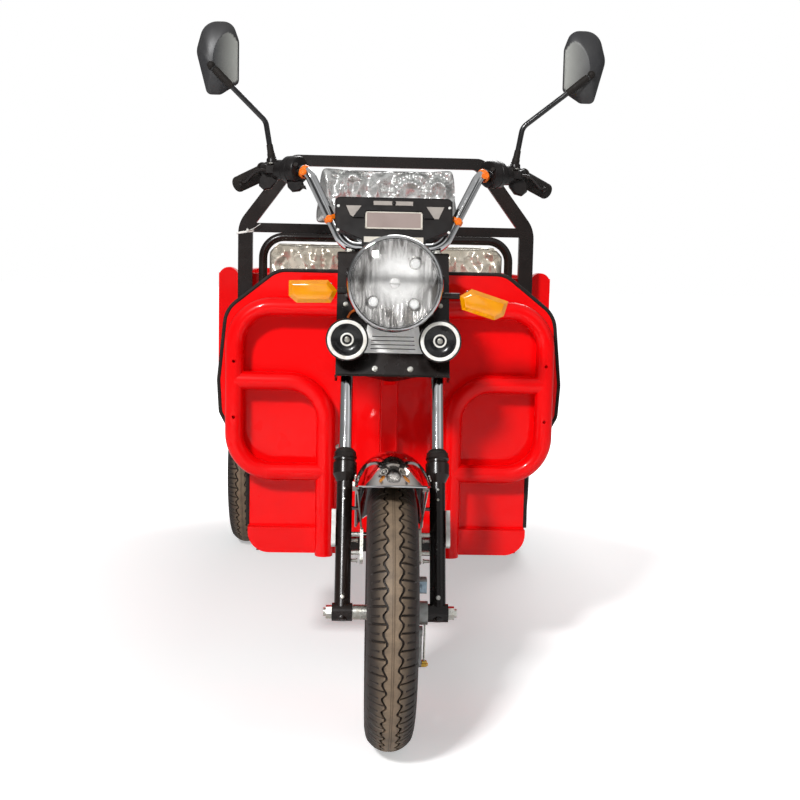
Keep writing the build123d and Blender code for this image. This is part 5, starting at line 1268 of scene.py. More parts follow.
x = np.linspace(-0.0669, 0.0669, 41)
nose_turn = np.arccos(0.23851 / (1.01661 * guard_radius_at(x))) - radians(10.37)
nose = guard_point(x, nose_turn)
back_turns = np.linspace(nose_turn[-1], -radians(62), 40)[1:-1]
side_line = guard_point(np.full(38, 0.0669), back_turns)
tail = guard_point(x[::-1], np.full(41, -radians(62)))
other_line = (side_line * (-1, 1, 1))[::-1]
bead = np.concatenate([nose, side_line, tail, other_line])
make("mudguard_bead", pipe(bead, 0.0023, 8, 1.0, (0.2, 0.4, 0.9), True), chrome, "steering")
rivets = []
for side in (1, -1):
    for ahead in (-0.06, 0.05):
        rivets += screw(
            guard_point(np.float64(side * 0.0665), ahead) + (side * 0.0012, 0, 0.006), (side, 0, 0.35), 0.0042
        )
make("mudguard_screws", joined(rivets), zinc_plate, "steering", (), 25)


# Cowl fittings: zinc-plated bolts low on the front sheet and at its sides, which hold it to the
# fork's brackets, and rims folded along its upper and lower edges.
cowl_parts = []
for x in (-0.0345, 0.0345):
    cowl_parts += hex_bolt(raked(x, -0.0792, 0.4665), steer_front, 0.0052)
for x in (-0.0935, 0.0935):
    cowl_parts += hex_bolt(raked(x, -0.0792, 0.60), steer_front, 0.0045)
make("cowl_bolts", joined(cowl_parts), zinc_plate, "steering", (), 25)
rim_parts = []
for up in (0.4528, 0.7112):
    corners = [
        raked(-0.1105, -0.046, up), raked(-0.1105, -0.0785, up), raked(0.1105, -0.0785, up),
        raked(0.1105, -0.046, up)
    ]
    rim_parts.append(pipe(rounded(corners, (0.004, 0.004), 5), 0.0021, 8, 1.0, steer_up))
make("cowl_rims", joined(rim_parts), black_paint, "steering")


# Headlamp: a black bowl of sheet steel with a silvered, ribbed reflector pressed into it, a cap
# over the bulb in its middle, three small round lamps in silvered seats, and a clear dome held by
# the chromed ring. Bowl, dome and ring are turned about one axis.
lamp_centre = np.array([0, front_y + 0.08, 0.857])
bowl_radius = 0.0867
glass_radius = 0.084
bowl_back = np.array([(0.0826, 0.030), (0.0832, 0.0195), (0.0843, 0.022), (0.0843, 0.0185), (bowl_radius, 0.0185)])
bowl_sides = np.array([
    (bowl_radius, 0.044), (0.085, 0.052), (0.079, 0.068), (0.068, 0.084), (0.052, 0.096), (0.032, 0.105),
    (0.012, 0.109), (0, 0.1098)
])
bowl_inside = np.array([(0, 0.104), (0.03, 0.099), (0.05, 0.090), (0.068, 0.076), (0.081, 0.052)])
bowl_shape = turned(np.concatenate([bowl_inside, bowl_back, bowl_sides]), lamp_centre)
make("headlamp_bowl", bowl_shape, black_plastic, "steering", ("headlamp_bucket",), 50)

# Vacuum-silvered reflector: a mirror finish over moulded ribs; beyond a plain middle, streaks of grey
# are mixed into its colour as painted reflection.
silvered, tree, shader = new_material("vacuum_silvered_reflector")
shader.inputs["Metallic"].default_value = 1.0
tint = wear(tree, shader, "F6F5F3", "DAD8D4", 12, 0.4, 0.14, 0.08, 2.0, 0.05)
from_lamp = add(tree, "TexCoord")
from_lamp = add(tree, "VectorMath", {0: from_lamp.outputs["Object"], 1: tuple(-lamp_centre)})
streak_place = add(tree, "Mapping", {0: from_lamp.outputs[0], 3: (70, 20, 14)})
streaks = add(tree, "TexNoise", {0: streak_place.outputs[0], 2: 1.0, 3: 3.0, 8: 1.5})
from_middle = add(tree, "VectorMath", {0: from_lamp.outputs[0], 1: (1, 0, 1)}, operation="MULTIPLY")
from_middle = add(tree, "VectorMath", {0: from_middle.outputs[0], 1: (0.006, 0, 0.010)}, operation="SUBTRACT")
from_middle = add(tree, "VectorMath", {0: from_middle.outputs[0]}, operation="LENGTH")
outer_part = add(tree, "MapRange", {0: from_middle.outputs["Value"], 1: 0.034, 2: 0.066, 3: 0.0, 4: 1.0})
streak_share = add(tree, "MapRange", {0: streaks.outputs[0], 1: 0.36, 2: 0.6, 3: 0.35, 4: 1.0})
# Painted reflection: dark grey streaks over the outer part of the reflector.
painted_reflection_share = add(tree, "Math", {0: outer_part.outputs[0], 1: streak_share.outputs[0]}, operation="MULTIPLY")
painted_reflection_tint = add(tree, "Mix", {0: painted_reflection_share.outputs[0], 6: tint.outputs[2], 7: colour("5F5B57")}, data_type="RGBA")
tree.links.new(painted_reflection_tint.outputs[2], shader.inputs["Base Color"])


def reflector_ribs(turn, radius):
    """Ribs across the bowl: each is a shallow arc, 8 mm wide in x, only outside the plain middle."""
    x = radius * np.cos(turn)
    ridge = np.abs((x / 0.008) % 1 - 0.5) * 2
    return -0.0015 * ridge**2 * np.clip((radius - 0.036) / 0.014, 0, 1) * np.clip((0.0822 - radius) / 0.003, 0, 1)


reach = np.linspace(0.006, 0.0824, 40)
depth = 0.022 + 0.020 * (1 - (reach / 0.0824) ** 2)
front_skin = np.stack([reach, depth], 1)
back_skin = np.stack([reach[::-1], depth[::-1] + 0.0012], 1)
reflector = turned(
    np.concatenate([front_skin, back_skin, front_skin[:1]]), lamp_centre, steps=160, waves=reflector_ribs
)
make("headlamp_reflector", reflector, silvered, "steering", (), 25)

cap_profile = [(0, 0.033), (0.005, 0.0332), (0.0085, 0.0342), (0.0095, 0.0362), (0.0095, 0.043), (0, 0.043)]
seat_parts = [turned(cap_profile, lamp_centre, steps=40)]
bulb_parts = []
for turn in (221, 314, 45):
    foot = lamp_centre + np.array([0.0535 * cos(radians(turn)), 0, 0.0535 * sin(radians(turn))])
    small_dome = [(0, 0.0205), (0.004, 0.0209), (0.0075, 0.0225), (0.0088, 0.025), (0.0088, 0.036), (0, 0.036)]
    bulb_parts.append(turned(small_dome, foot, steps=28))
    collar = [(0.0092, 0.024), (0.0106, 0.0232), (0.0116, 0.0245), (0.0116, 0.036), (0.0092, 0.036)]
    seat_parts.append(turned(collar + collar[:1], foot, steps=28))
make("headlamp_bulb_seats", joined(seat_parts), silvered, "steering")

# Frosted lenses of the small lamps: white, with a weak glow for the sun that fills them.
frosted, tree, shader = new_material("frosted_white_lens")
wear(tree, shader, "FBFBF8", "E9EAE8", 8, 0.5, 0.2, 0.1, 0.8, 0.1)
shader.inputs["Emission Color"].default_value = colour("FFFFFF")
shader.inputs["Emission Strength"].default_value = 0.25
make("headlamp_bulbs", joined(bulb_parts), frosted, "steering")
rim = [(0.0806, 0.0212), (0.0812, 0.0178), (0.0826, 0.0166), (0.0838, 0.0176), (0.0838, 0.0205), (0.0812, 0.0214)]
make("headlamp_reflector_rim", turned(rim + rim[:1], lamp_centre, steps=120), chrome, "steering", (), 50)

# Clear polycarbonate dome: smooth outside, with fine moulded ridges that catch the light.
clear_dome, tree, shader = new_material("clear_polycarbonate_dome")
shader.inputs["Base Color"].default_value = colour("FFFFFF")
shader.inputs["Roughness"].default_value = 0.03
shader.inputs["IOR"].default_value = 1.45
shader.inputs["Transmission Weight"].default_value = 1.0
haze = spot(tree, 40, 3.0)
ridges = add(tree, "Bump", {"Strength": 0.12, "Distance": 0.0006, "Height": haze.outputs[0]})
tree.links.new(ridges.outputs[0], shader.inputs["Normal"])
rise = 0.018
dome_radius = (glass_radius**2 + rise**2) / (2 * rise)
reach = np.linspace(0, glass_radius - 0.0006, 26)
outer = -0.012 + dome_radius - np.sqrt(dome_radius**2 - reach**2)
inner = outer + 0.0028
skin = np.concatenate([
    np.stack([reach, outer], 1), [(glass_radius - 0.0004, 0.014)], [(glass_radius - 0.0034, 0.014)],
    np.stack([reach[::-1] * 0.96, inner[::-1]], 1)
])
make(
    "headlamp_dome", turned(skin, lamp_centre, steps=96), clear_dome, "steering", ("headlamp_lens",),
    60
)

ring_profile = [
    (0.0843, 0.0042), (0.0849, 0.0014), (0.0858, 0.0002), (0.0872, 0.0006), (0.0888, 0.0026), (0.0902, 0.0058),
    (0.0910, 0.0092), (0.0910, 0.0150), (0.0902, 0.0168), (0.0894, 0.0176), (0.0846, 0.0176), (0.0843, 0.0160),
]
ring = turned(ring_profile + ring_profile[:1], lamp_centre, steps=120)
make("headlamp_ring", ring, chrome, "steering", ("headlamp_bezel",), 50)


# Horns: black pressed shells on brackets in front of the fork's legs, with a ring of white enamel
# at the rim and another round the centre nut.
horn_black, tree, shader = new_material("gloss_black_horn_enamel")
wear(tree, shader, "0E0E10", "1D1B1A", 25, 0.5, 0.18, 0.12, 0.9, 0.08)
horn_white, tree, shader = new_material("white_horn_enamel")
wear(tree, shader, "F2F0EA", "C9C2B4", 12, 0.7, 0.3, 0.12, 0.9, 0.08)
horn_face = front_y + 0.118
horn_rings = (
    (
        "horn_shells", horn_black,
        [
            (0, 0.007), (0.0055, 0.007), (0.006, 0.0095), (0.0125, 0.0105), (0.0185, 0.0092), (0.0230, 0.0075),
            (0.0255, 0.0048), (0.0285, 0.0026), (0.0312, 0.0026), (0.0378, 0.0018), (0.0396, 0.0004),
            (0.0408, 0.0022), (0.041, 0.0105), (0.0398, 0.0145), (0.034, 0.0222), (0.024, 0.034), (0, 0.034)
        ]
    ),
    (
        "horn_rims", horn_white,
        [
            (0.0308, 0.0034), (0.0313, 0.0012), (0.0330, 0.0003), (0.0362, 0.0001), (0.0378, 0.0008),
            (0.0380, 0.0034), (0.0308, 0.0034)
        ]
    ),
    (
        "horn_centres", horn_white,
        [
            (0.0094, 0.0110), (0.0098, 0.0084), (0.0112, 0.0078), (0.0126, 0.0084), (0.0130, 0.0104),
            (0.0112, 0.011), (0.0094, 0.0110)
        ]
    ),
    (
        "horn_nuts", zinc_plate,
        [(0, 0.0040), (0.0030, 0.0042), (0.0044, 0.0052), (0.0052, 0.0056), (0.0054, 0.0092), (0, 0.0092)]
    ),
)
for ring_name, ring_material, ring_profile in horn_rings:
    pair = [turned(ring_profile, (side * fork_x, horn_face, 0.748), steps=72) for side in (-1, 1)]
    make(
        ring_name, joined(pair), ring_material, "steering",
        ("horns",) if ring_name == "horn_shells" else (), 30
    )


# Indicators: amber acrylic lenses with six edges and a raised, bevelled face over a ribbed
# back, each pushed on a black stalk. The right one has drooped on its stalk, as photographed.
def inset(outline, amount):
    """Outline moved inwards: each corner slides along its bisector by amount / sin(half its angle)."""
    corners = np.array(outline, float)
    before = np.roll(corners, 1, 0) - corners
    after = np.roll(corners, -1, 0) - corners
    before /= np.linalg.norm(before, axis=1)[:, None]
    after /= np.linalg.norm(after, axis=1)[:, None]
    turn = np.cross(corners - np.roll(corners, 1, 0), np.roll(corners, -1, 0) - corners)
    heading = np.sign(turn) * np.sign(turn.sum() or 1)
    bisector = before + after
    flat = np.linalg.norm(bisector, axis=1) < 1e-6
    bisector[flat] = np.stack([-after[flat, 1], after[flat, 0]], 1) * np.sign(turn.sum())
    length = np.linalg.norm(bisector, axis=1)
    half = np.arccos(np.clip((before * after).sum(1), -1, 1)) / 2
    step = amount / np.maximum(np.sin(half), 0.25)
    heading[flat] = 1
    return corners + bisector / length[:, None] * (step * heading)[:, None]


def slab(outline, origin, across, up, thick, edge=0.001, steps=3):
    """Outline in the plane of across and up, thick metres deep along across x up, with rounded rims:
    rings are drawn in by edge * (1 - sin a) and moved by edge * (1 - cos a) at both faces."""
    across, up = (np.array(v, float) / np.linalg.norm(v) for v in (across, up))
    deep = np.cross(across, up)
    corners = len(outline)
    turn = np.linspace(0, pi / 2, steps + 1)
    rings = [(edge * (1 - sin(a)), edge * (1 - cos(a))) for a in turn]
    rings += [(drawn, thick - place) for drawn, place in reversed(rings)]
    points = []
    for drawn, place in rings:
        flat = inset(outline, drawn)
        points.append(np.array(origin) + flat[:, :1] * across + flat[:, 1:] * up + place * deep)
    faces = grid_faces(len(rings), corners, round_columns=True)
    last = (len(rings) - 1) * corners
    faces += [tuple(range(corners - 1, -1, -1)), tuple(range(last, last + corners))]
    return np.concatenate(points), faces


lens_parts, back_parts = [], []
stalk_y = front_y + 0.128
for side, centre_x, centre_z, droop in ((-1, -0.155, 0.8385, 0), (1, 0.168, 0.820, -16)):
    lean = radians(droop)
    across, up = np.array([cos(lean), 0, sin(lean)]), np.array([-sin(lean), 0, cos(lean)])
    outline = np.array([(46, 20), (-28, 22), (-46, 2), (-34, -21), (31, -22), (46, -9)]) * (side / 1000, 0.001)
    if side < 0:
        outline = outline[::-1]
    middle = np.array([centre_x, stalk_y, centre_z])
    rings = []
    for drawn, place in (
        (0.0015, 0.013), (0, 0.0115), (0, -0.004), (0.0012, -0.0052), (0.007, -0.0118), (0.0085, -0.0126),
        (0.0105, -0.0130)
    ):
        flat = inset(outline, drawn)
        rings.append(middle + flat[:, :1] * across + flat[:, 1:] * up + np.array([0, place, 0]))
    faces = grid_faces(len(rings), 6, round_columns=True)
    faces += [(0, 1, 2, 3, 4, 5), tuple(range(6 * len(rings) - 1, 6 * len(rings) - 7, -1))]
    lens_parts.append((np.concatenate(rings), faces))
    for bar in range(9):
        place = middle + across * (bar - 4) * 0.0085 + np.array([0, 0.004, 0])
        strip = [(-0.0016, -0.0165), (0.0016, -0.0165), (0.0016, 0.0165), (-0.0016, 0.0165)]
        back_parts.append(slab(strip, place, across, up, 0.003, 0.0006, 2))
    bulb = middle - across * side * 0.004 + np.array([0, 0.001, 0])
    back_parts.append(
        turned([(0, -0.007), (0.005, -0.0055), (0.008, 0), (0.0075, 0.004), (0, 0.006)], bulb, steps=24)
    )
make("indicator_shells", joined(lens_parts), amber_lens, "steering", ("indicator_lenses",), 20)
make("indicator_ribs", joined(back_parts), chrome, "steering")


# Instrument panel face: a black moulded plate with a beige display in a light frame, two grey
# bars and two grey wedges over it, a light strip under it, and white-headed screws.
panel_grey, tree, shader = new_material("grey_panel_film")
wear(tree, shader, "A69E97", "8E8781", 20, 0.6, 0.3, 0.12, 1.0, 0.08)
panel_light, tree, shader = new_material("pale_panel_frame")
wear(tree, shader, "D9D2C6", "BDB4A6", 20, 0.6, 0.32, 0.12, 1.0, 0.08)
display_glass, tree, shader = new_material("beige_display_glass")
wear(tree, shader, "A3928C", "94847F", 35, 0.6, 0.14, 0.06, 1.5, 0.04)
shader.inputs["Coat Weight"].default_value = 0.5
screw_white, tree, shader = new_material("white_screw_enamel")
wear(tree, shader, "EFEFEC", "C8C6C0", 6, 0.6, 0.3, 0.1, 0.6, 0.1)

plate_corners = (
    (0.0, 0.832), (0.1130, 0.832), (0.1186, 0.8262), (0.1182, 0.7640), (0.0620, 0.7380), (0.0620, 0.7165),
    (0.0, 0.7165)
)
half = rounded([(x, up, 0) for x, up in plate_corners], (0.008, 0.006, 0.018, 0.008, 0.003), 6)[:, :2]
whole = np.concatenate([half, (half * (-1, 1))[::-1][1:-1]])
panel_parts = [panel([raked(x, -0.0640, up) for x, up in whole], 0.0190, steer_front, 0.0016)]
lip = [raked(x * 0.992, -0.0826, 0.774 + (up - 0.774) * 0.985) for x, up in whole]
panel_parts.append(pipe(lip, 0.0013, 6, 1.0, steer_front, True))
make("panel_plate", joined(panel_parts), black_plastic, "steering", ("instrument_panel",), 30)


def on_panel(places, rise=0.0):
    """Points on the panel's face from places in thousandths of its width and height."""
    return np.array([raked((x - 500) / 1000 * 0.238, -0.0832 - rise, 0.832 - y / 1000 * 0.116) for x, y in places])


def oblong(left, upper, right, lower):
    """Corners of a rectangle in the same thousandths."""
    return (left, upper), (right, upper), (right, lower), (left, lower)


face_pieces = (
    ("panel_bars", panel_grey, (oblong(326, 70, 485, 150), oblong(513, 70, 662, 150)), 0.0006),
    (
        "panel_wedges", panel_grey,
        (((92, 165), (262, 165), (170, 395), (130, 350)), ((765, 165), (928, 165), (880, 395), (838, 395))), 0.0006
    ),
    (
        "panel_frame", panel_light,
        (
            oblong(258, 278, 742, 300), oblong(258, 580, 742, 604),
            oblong(258, 278, 272, 604), oblong(728, 278, 742, 604),
        ),
        0.0016,
    ),
    ("panel_display", display_glass, (oblong(270, 296, 730, 584),), 0.0008),
    ("panel_strip", panel_light, (oblong(248, 752, 750, 856),), 0.0006),
)
for face_name, material, shapes, depth in face_pieces:
    plates = [panel(on_panel(shape), depth, steer_front, 0.0003) for shape in shapes]
    make(face_name, joined(plates), material, "steering", (), 25)
brow = on_panel(
    ((225, 170), (775, 170), (842, 400), (760, 400), (735, 265), (265, 265), (240, 400), (150, 400)), 0.0
)
make("panel_brow", panel(brow, 0.003, steer_front, 0.0006), black_plastic, "steering", (), 25)
screw_parts = []
for place in ((28, 177), (974, 177), (28, 635), (965, 647)):
    screw_parts += screw(on_panel([place])[0], steer_front, 0.0031)
make("panel_screws", joined(screw_parts), screw_white, "steering", (), 25)
make(
    "panel_middle_screw", joined(screw(on_panel([(500, 106)], 0.0004)[0], steer_front, 0.0042)), black_plastic,
    "steering", (), 25
)


# Handlebar ends: ribbed rubber grips, two-part switch housings of black plastic with their
# buttons, brake lever perches and levers, and orange clips that hold the wires to the bar.
bar_low_y = steer_foot[1] - fork_offset * cos(rake) + 0.7367 * sin(rake)
bar_corner = np.array([0.177, bar_low_y + 0.030, 1.079])
bar_elbow = np.array([0.262, bar_low_y + 0.098, 1.081])
bar_end = np.array([0.327, bar_low_y + 0.150, 1.054])
inner_run = (bar_elbow - bar_corner) / np.linalg.norm(bar_elbow - bar_corner)
grip_run = (bar_end - bar_elbow) / np.linalg.norm(bar_end - bar_elbow)
grip_length = np.linalg.norm(bar_end - bar_elbow) - 0.0088
bore = 0.0113
perch_place = bar_corner + inner_run * 0.099
grip_parts, housing_parts, button_parts, lever_parts, nut_parts = [], [], [], [], []
for side in (1, -1):
    flip = np.array([side, 1, 1])
    foot = (bar_elbow + grip_run * 0.009) * flip
    profile = [(bore, 0.0), (0.0200, 0.0), (0.0210, 0.001), (0.0210, 0.0034), (0.0196, 0.0044), (0.0172, 0.005)]
    rings = int((grip_length - 0.012) / 0.0046)
    for number in range(rings):
        start = 0.0072 + number * 0.0046
        profile += [(0.0163, start), (0.0171, start + 0.0007), (0.0172, start + 0.0032), (0.0163, start + 0.0039)]
    end = grip_length + 0.0052
    profile += [
        (0.0172, end - 0.004), (0.0166, end - 0.0014), (0.0148, end), (0.006, end), (0.005, end - 0.001),
        (0, end - 0.001)
    ]
    profile += [(0, grip_length + 0.0004), (bore, grip_length + 0.0004), (bore, 0.0)]
    grip_parts.append(turned(profile, foot, grip_run * flip, (0, 0, 1), 40))

    centre = (bar_corner + inner_run * 0.038) * flip
    shell = [
        (bore, -0.019), (0.0235, -0.019), (0.0265, -0.0176), (0.0282, -0.0145), (0.0286, -0.0016),
        (0.0276, -0.0006), (0.0276, 0.0006), (0.0286, 0.0016), (0.0282, 0.013), (0.0265, 0.0158), (0.0228, 0.0168)
    ]
    shell += [
        (0.0206, 0.0185), (0.0210, 0.0205), (0.0208, 0.046), (0.0196, 0.0496), (0.0172, 0.0508), (bore, 0.0508),
        (bore, -0.017)
    ]
    housing_parts.append(turned(shell, centre, inner_run * flip, (0, 0, 1), 56))
    forward = np.array([0, -0.94, 0.34])
    for shift, reach in ((-0.007, 0.0255), (0.008, 0.0255)):
        spot_place = centre + inner_run * flip * shift + forward * reach
        button = [(0, -0.001), (0.0046, -0.001), (0.0048, 0.0012), (0.0040, 0.0028), (0, 0.0032)]
        button_parts.append(turned(button, spot_place, forward, (1, 0, 0), 20))
    under = centre + np.array([side * -0.004, -0.004, -0.024])
    block = np.array([
        (-0.017, 0), (0.015, 0.002), (0.019, -0.010), (0.009, -0.019), (-0.006, -0.021), (-0.015, -0.012)
    ])
    if side < 0:
        points = np.array([under + (a, 0, b) for a, b in block])
        housing_parts.append(panel(points + (0, 0.013, 0), 0.026, (0, -1, 0), 0.003))
        thumb = np.array([(0.006, -0.004), (0.021, -0.008), (0.024, -0.016), (0.012, -0.013)])
        button_parts.append(panel(np.array([under + (a, -0.008, b) for a, b in thumb]), 0.006, (0, -1, 0), 0.001))

    perch = perch_place * flip
    sleeve_line = rounded(
        [bar_corner + inner_run * 0.03, bar_elbow, bar_elbow + grip_run * 0.012], (0.03,), 10
    ) * flip
    housing_parts.append(pipe(sleeve_line, 0.0178, 28))
    arm = np.array([(-0.013, -0.010), (0.013, -0.010), (0.013, 0.010), (-0.013, 0.010)])
    corners = np.array([perch + (a, -0.006, b) for a, b in arm])
    housing_parts.append(panel(corners, 0.024, (0, -1, 0), 0.004))
    flange = np.array([
        (-0.012, -0.008), (0.020, -0.008), (0.026, -0.020), (0.025, -0.034), (0.015, -0.0425), (0.000, -0.039),
        (-0.012, -0.024)
    ])
    housing_parts.append(
        panel(np.array([perch + (side * a, 0.004, b) for a, b in flange]), 0.020, (0, -1, 0), 0.003)
    )
    boss = [(0.0, 0.002), (0.0105, 0.002), (0.011, 0.004), (0.011, 0.0215), (0.0100, 0.0238), (0, 0.0238)]
    housing_parts.append(turned(boss, perch, (0, 0, 1), (1, 0, 0), 32))
    perch_nut = [(0.0042, 0), (0.0066, 0), (0.0068, 0.0008), (0.0068, 0.0018), (0, 0.0018)]
    nut_parts.append(turned(perch_nut, perch + (0, -0.024, 0.0118), (0, 0, 1), (1, 0, 0), 6))
    lever_tip = (bar_end + (-0.008, -0.032, 0.001)) * flip
    path = [
        perch + (0, -0.020, -0.002), perch + (side * 0.006, -0.0245, -0.002),
        (bar_elbow + (0.018, -0.030, 0.001)) * flip, (bar_end + (-0.014, -0.032, 0.001)) * flip, lever_tip,
    ]
    lever_parts.append(pipe(rounded(path, (0.01, 0.03, 0.02), 6), 0.0042, 12, 0.72, (0, 0, 1)))
    lever_ball = [(0, -0.006), (0.004, -0.0045), (0.0058, 0), (0.004, 0.0045), (0, 0.006)]
    lever_parts.append(turned(lever_ball, lever_tip, (side, 0, 0), (0, 0, 1), 20))
make("grip_covers", joined(grip_parts), soft_rubber, "steering", ("grips",), 30)
make(
    "control_housings", joined(housing_parts), black_plastic, "steering",
    ("hand_control_left", "hand_control_right"), 35
)
make("control_buttons", joined(button_parts), soft_rubber, "steering")
make("brake_levers", joined(lever_parts), black_paint, "steering")
make("lever_nuts", joined(nut_parts), zinc_plate, "steering", (), 25)

orange_clip, tree, shader = new_material("orange_nylon_clip")
wear(tree, shader, "FF7A14", "E86408", 10, 0.6, 0.3, 0.1, 0.9, 0.1)
shader.inputs["Subsurface Weight"].default_value = 0.1
bar_low = np.array([0.0985, bar_low_y, 0.923])
bar_line = rounded([bar_elbow, bar_corner, bar_low], (0.042,), 24)
clip_parts = []
for side in (1, -1):
    for target_x in (0.1835, 0.1275):
        place = np.argmin(np.abs(bar_line[:, 0] - target_x))
        if target_x < 0.15:
            share = (target_x - bar_low[0]) / (bar_corner[0] - bar_low[0])
            centre, ahead = bar_low + share * (bar_corner - bar_low), bar_corner - bar_low
        else:
            centre, ahead = bar_line[place], bar_line[place] - bar_line[place + 1]
        flip = np.array([side, 1, 1])
        centre, ahead = centre * flip, ahead * flip / np.linalg.norm(ahead)
        band = [
            (0.0112, -0.0048), (0.0132, -0.0046), (0.0140, -0.003), (0.0140, 0.003), (0.0132, 0.0046),
            (0.0112, 0.0048)
        ]
        clip_parts.append(turned(band + band[:1], centre, ahead, (0, -1, 0), 32))
        knob = centre + np.array([side * 0.003, -0.0125, 0])
        clip = [
            (0, 0), (0.0062, 0.0002), (0.0078, 0.0022), (0.0074, 0.0052), (0.0045, 0.0068), (0.0036, 0.0058),
            (0, 0.0056)
        ]
        clip_parts.append(turned(clip, knob, (0, -1, 0), (1, 0, 0), 28))
wire_line = [
    raked(-0.0895, -0.0795, 0.571), raked(-0.084, -0.0835, 0.580), raked(-0.076, -0.0835, 0.5865),
    raked(-0.067, -0.0805, 0.584)
]
make(
    "cowl_wire_end", pipe(rounded(wire_line, (0.008, 0.008), 6), 0.0024, 10), orange_clip, "steering"
)
make("bar_clips", joined(clip_parts), orange_clip, "steering", (), 35)
riser_parts = []
for side in (1, -1):
    for shift in (-0.012, 0.012):
        seat = raked(side * 0.034, -fork_offset + shift, 0.7550)
        riser_parts += hex_bolt(seat, steer_up, 0.0048)
make("riser_bolts", joined(riser_parts), zinc_plate, "steering", (), 25)


# Mirrors: moulded black shells whose flat facet on the inner side is drawn paler as painted sheen, held by
# a ball joint on their fronts to bent steel stems that stand in ribbed rubber boots on the lever perches.
mirror_black, tree, shader = new_material("grained_mirror_shell_plastic")
wear(tree, shader, "2A2A2D", "3A3937", 90, 0.6, 0.42, 0.12, 0.7, 0.3)
# The facet's paler grey, mixed in by its attribute, is painted sheen.
facet_painted_sheen = add(tree, "Attribute", attribute_name="facet_painted_sheen")
dark = shader.inputs["Base Color"].links[0].from_socket
painted_sheen_tint = add(tree, "Mix", {0: facet_painted_sheen.outputs["Fac"], 6: dark, 7: colour("8F908B")}, data_type="RGBA")
tree.links.new(painted_sheen_tint.outputs[2], shader.inputs["Base Color"])

stem_enamel, tree, shader = new_material("gloss_black_stem_enamel")
wear(tree, shader, "19191B", "2A2826", 30, 0.6, 0.16, 0.08, 1.2, 0.04)

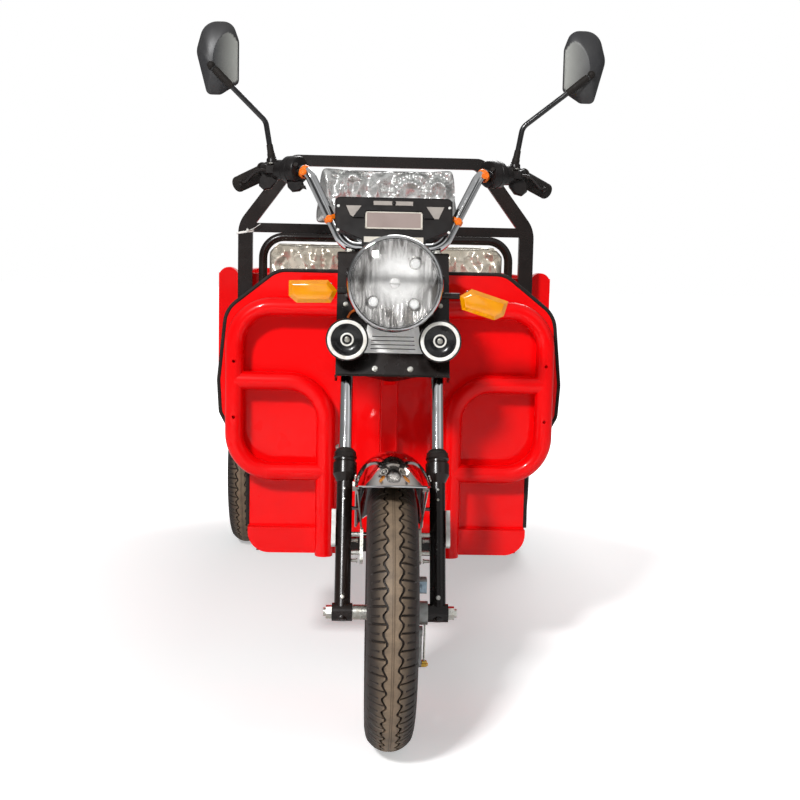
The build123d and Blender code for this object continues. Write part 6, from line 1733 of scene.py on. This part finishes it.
outline = np.array([
    (-0.042, -0.050), (-0.042, 0.036), (-0.028, 0.075), (0.030, 0.075), (0.047, 0.014), (0.024, -0.074),
    (-0.004, -0.074)
])
bends = (0.030, 0.026, 0.036, 0.040, 0.012, 0.012, 0.012)
looped = np.concatenate([outline, outline[:2]])
edge = rounded([(x, z, 0) for x, z in looped], bends, 9)[1:-1, :2]
steps = np.linalg.norm(np.diff(np.concatenate([edge, edge[:1]]), axis=0), axis=1)
length = np.concatenate([[0], np.cumsum(steps)])
closed = np.concatenate([edge, edge[:1]])
even = np.linspace(0, length[-1], 121)[:-1]
edge = np.stack([np.interp(even, length, closed[:, 0]), np.interp(even, length, closed[:, 1])], 1)
mirror_y = bar_corner[1] + inner_run[1] * 0.076 + 0.008
mirror_z = 1.308
depth = 0.0248
for side, side_name, mirror_x in ((1, "left", 0.393), (-1, "right", 0.367)):
    ball = np.array([0.010, -0.014])
    rings, painted_sheen_shares = [], []
    for share in np.concatenate([[1.0, 0.997, 0.985, 0.965], np.linspace(0.94, 0.0, 26)]):
        flat = ball + (edge - ball) * share
        dome = depth * (1 - share**2.4) ** 0.8
        inner_reach = np.clip((ball[0] - flat[:, 0]) / (ball[0] + 0.042), 0, 1)
        plane = depth - 0.0215 * inner_reach
        height = np.minimum(dome, plane)
        rings.append(
            np.column_stack([side * (mirror_x + flat[:, 0]), mirror_y + 0.0242 - height, mirror_z + flat[:, 1]])
        )
        # Painted sheen on the facet: pale towards its inner edge, darker towards the ball and the top.
        on_facet = (plane < dome - 0.0002) & (inner_reach > 0.02)
        painted_sheen_shares.append(
            np.where(
                on_facet,
                np.clip(0.04 + 1.15 * inner_reach**1.3 - 2.2 * np.clip(flat[:, 1], 0, 1) * inner_reach, 0, 1), 0.0
            )
        )
    front = len(rings)
    for share, back in ((0.0, 0.0205), (0.86, 0.0205), (0.925, 0.0205), (0.928, 0.0242), (0.992, 0.0246)):
        flat = ball + (edge - ball) * share
        rings.append(
            np.column_stack([
                side * (mirror_x + flat[:, 0]), np.full(len(edge), mirror_y + back - 0.0004), mirror_z + flat[:, 1]
            ])
        )
        painted_sheen_shares.append(np.zeros(len(edge)))
    points = np.concatenate(rings)
    faces = grid_faces(len(rings), len(edge), round_rows=True, round_columns=True)
    mesh = bpy.data.meshes.new("mirror_shell_" + side_name)
    mesh.from_pydata(points.tolist(), [], faces)
    painted_sheen_layer = mesh.attributes.new("facet_painted_sheen", "FLOAT", "POINT")
    painted_sheen_layer.data.foreach_set("value", np.concatenate(painted_sheen_shares).astype(np.float32))
    shell = bmesh.new()
    shell.from_mesh(mesh)
    bmesh.ops.remove_doubles(shell, verts=shell.verts, dist=2e-6)
    bmesh.ops.recalc_face_normals(shell, faces=shell.faces)
    shell.to_mesh(mesh)
    shell.free()
    mesh.shade_smooth()
    mesh.set_sharp_from_angle(angle=radians(32))
    mesh.materials.append(mirror_black)
    piece = bpy.data.objects.new("mirror_shell_" + side_name, mesh)
    bpy.context.scene.collection.objects.link(piece)
    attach(piece, "steering")
    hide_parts("mirror_" + side_name)

    foot = perch_place * (side, 1, 1) + (0, 0, 0.0236)
    joint = np.array([side * (mirror_x + ball[0] + 0.003), mirror_y - 0.0035, mirror_z + ball[1] - 0.004])
    knee = np.array([foot[0] + side * 0.013, foot[1] - 0.002, foot[2] + 0.076])
    line = rounded([foot, knee, joint], (0.028,), 12)
    ahead = (joint - knee) / np.linalg.norm(joint - knee)
    sleeve = [
        (0.0054, -0.062), (0.0068, -0.060), (0.0072, -0.052), (0.0076, -0.018), (0.0072, -0.010), (0.0050, -0.008)
    ]
    ball_profile = [
        (0, -0.0085), (0.004, -0.0075), (0.0072, -0.0042), (0.0085, 0), (0.0072, 0.0042), (0.004, 0.0075),
        (0, 0.0085)
    ]
    make("mirror_stem_" + side_name, pipe(line, 0.0056, 20), stem_enamel, "steering")
    boot = [
        (0, 0), (0.0092, 0.0), (0.0096, 0.001), (0.0092, 0.0028), (0.0080, 0.0036), (0.0084, 0.0052),
        (0.0080, 0.0112), (0.0072, 0.0118), (0.0074, 0.0160), (0.0068, 0.0166), (0.0070, 0.0182), (0.0066, 0.0285),
        (0.0058, 0.0292), (0.0054, 0.028)
    ]
    boot_parts = [
        turned(boot, foot, (knee - foot) / np.linalg.norm(knee - foot), (1, 0, 0), 32),
        turned(ball_profile, joint, ahead, (0, 1, 0), 24), turned(sleeve, joint, ahead, (0, 1, 0), 24)
    ]
    make("mirror_boot_" + side_name, joined(boot_parts), soft_rubber, "steering")
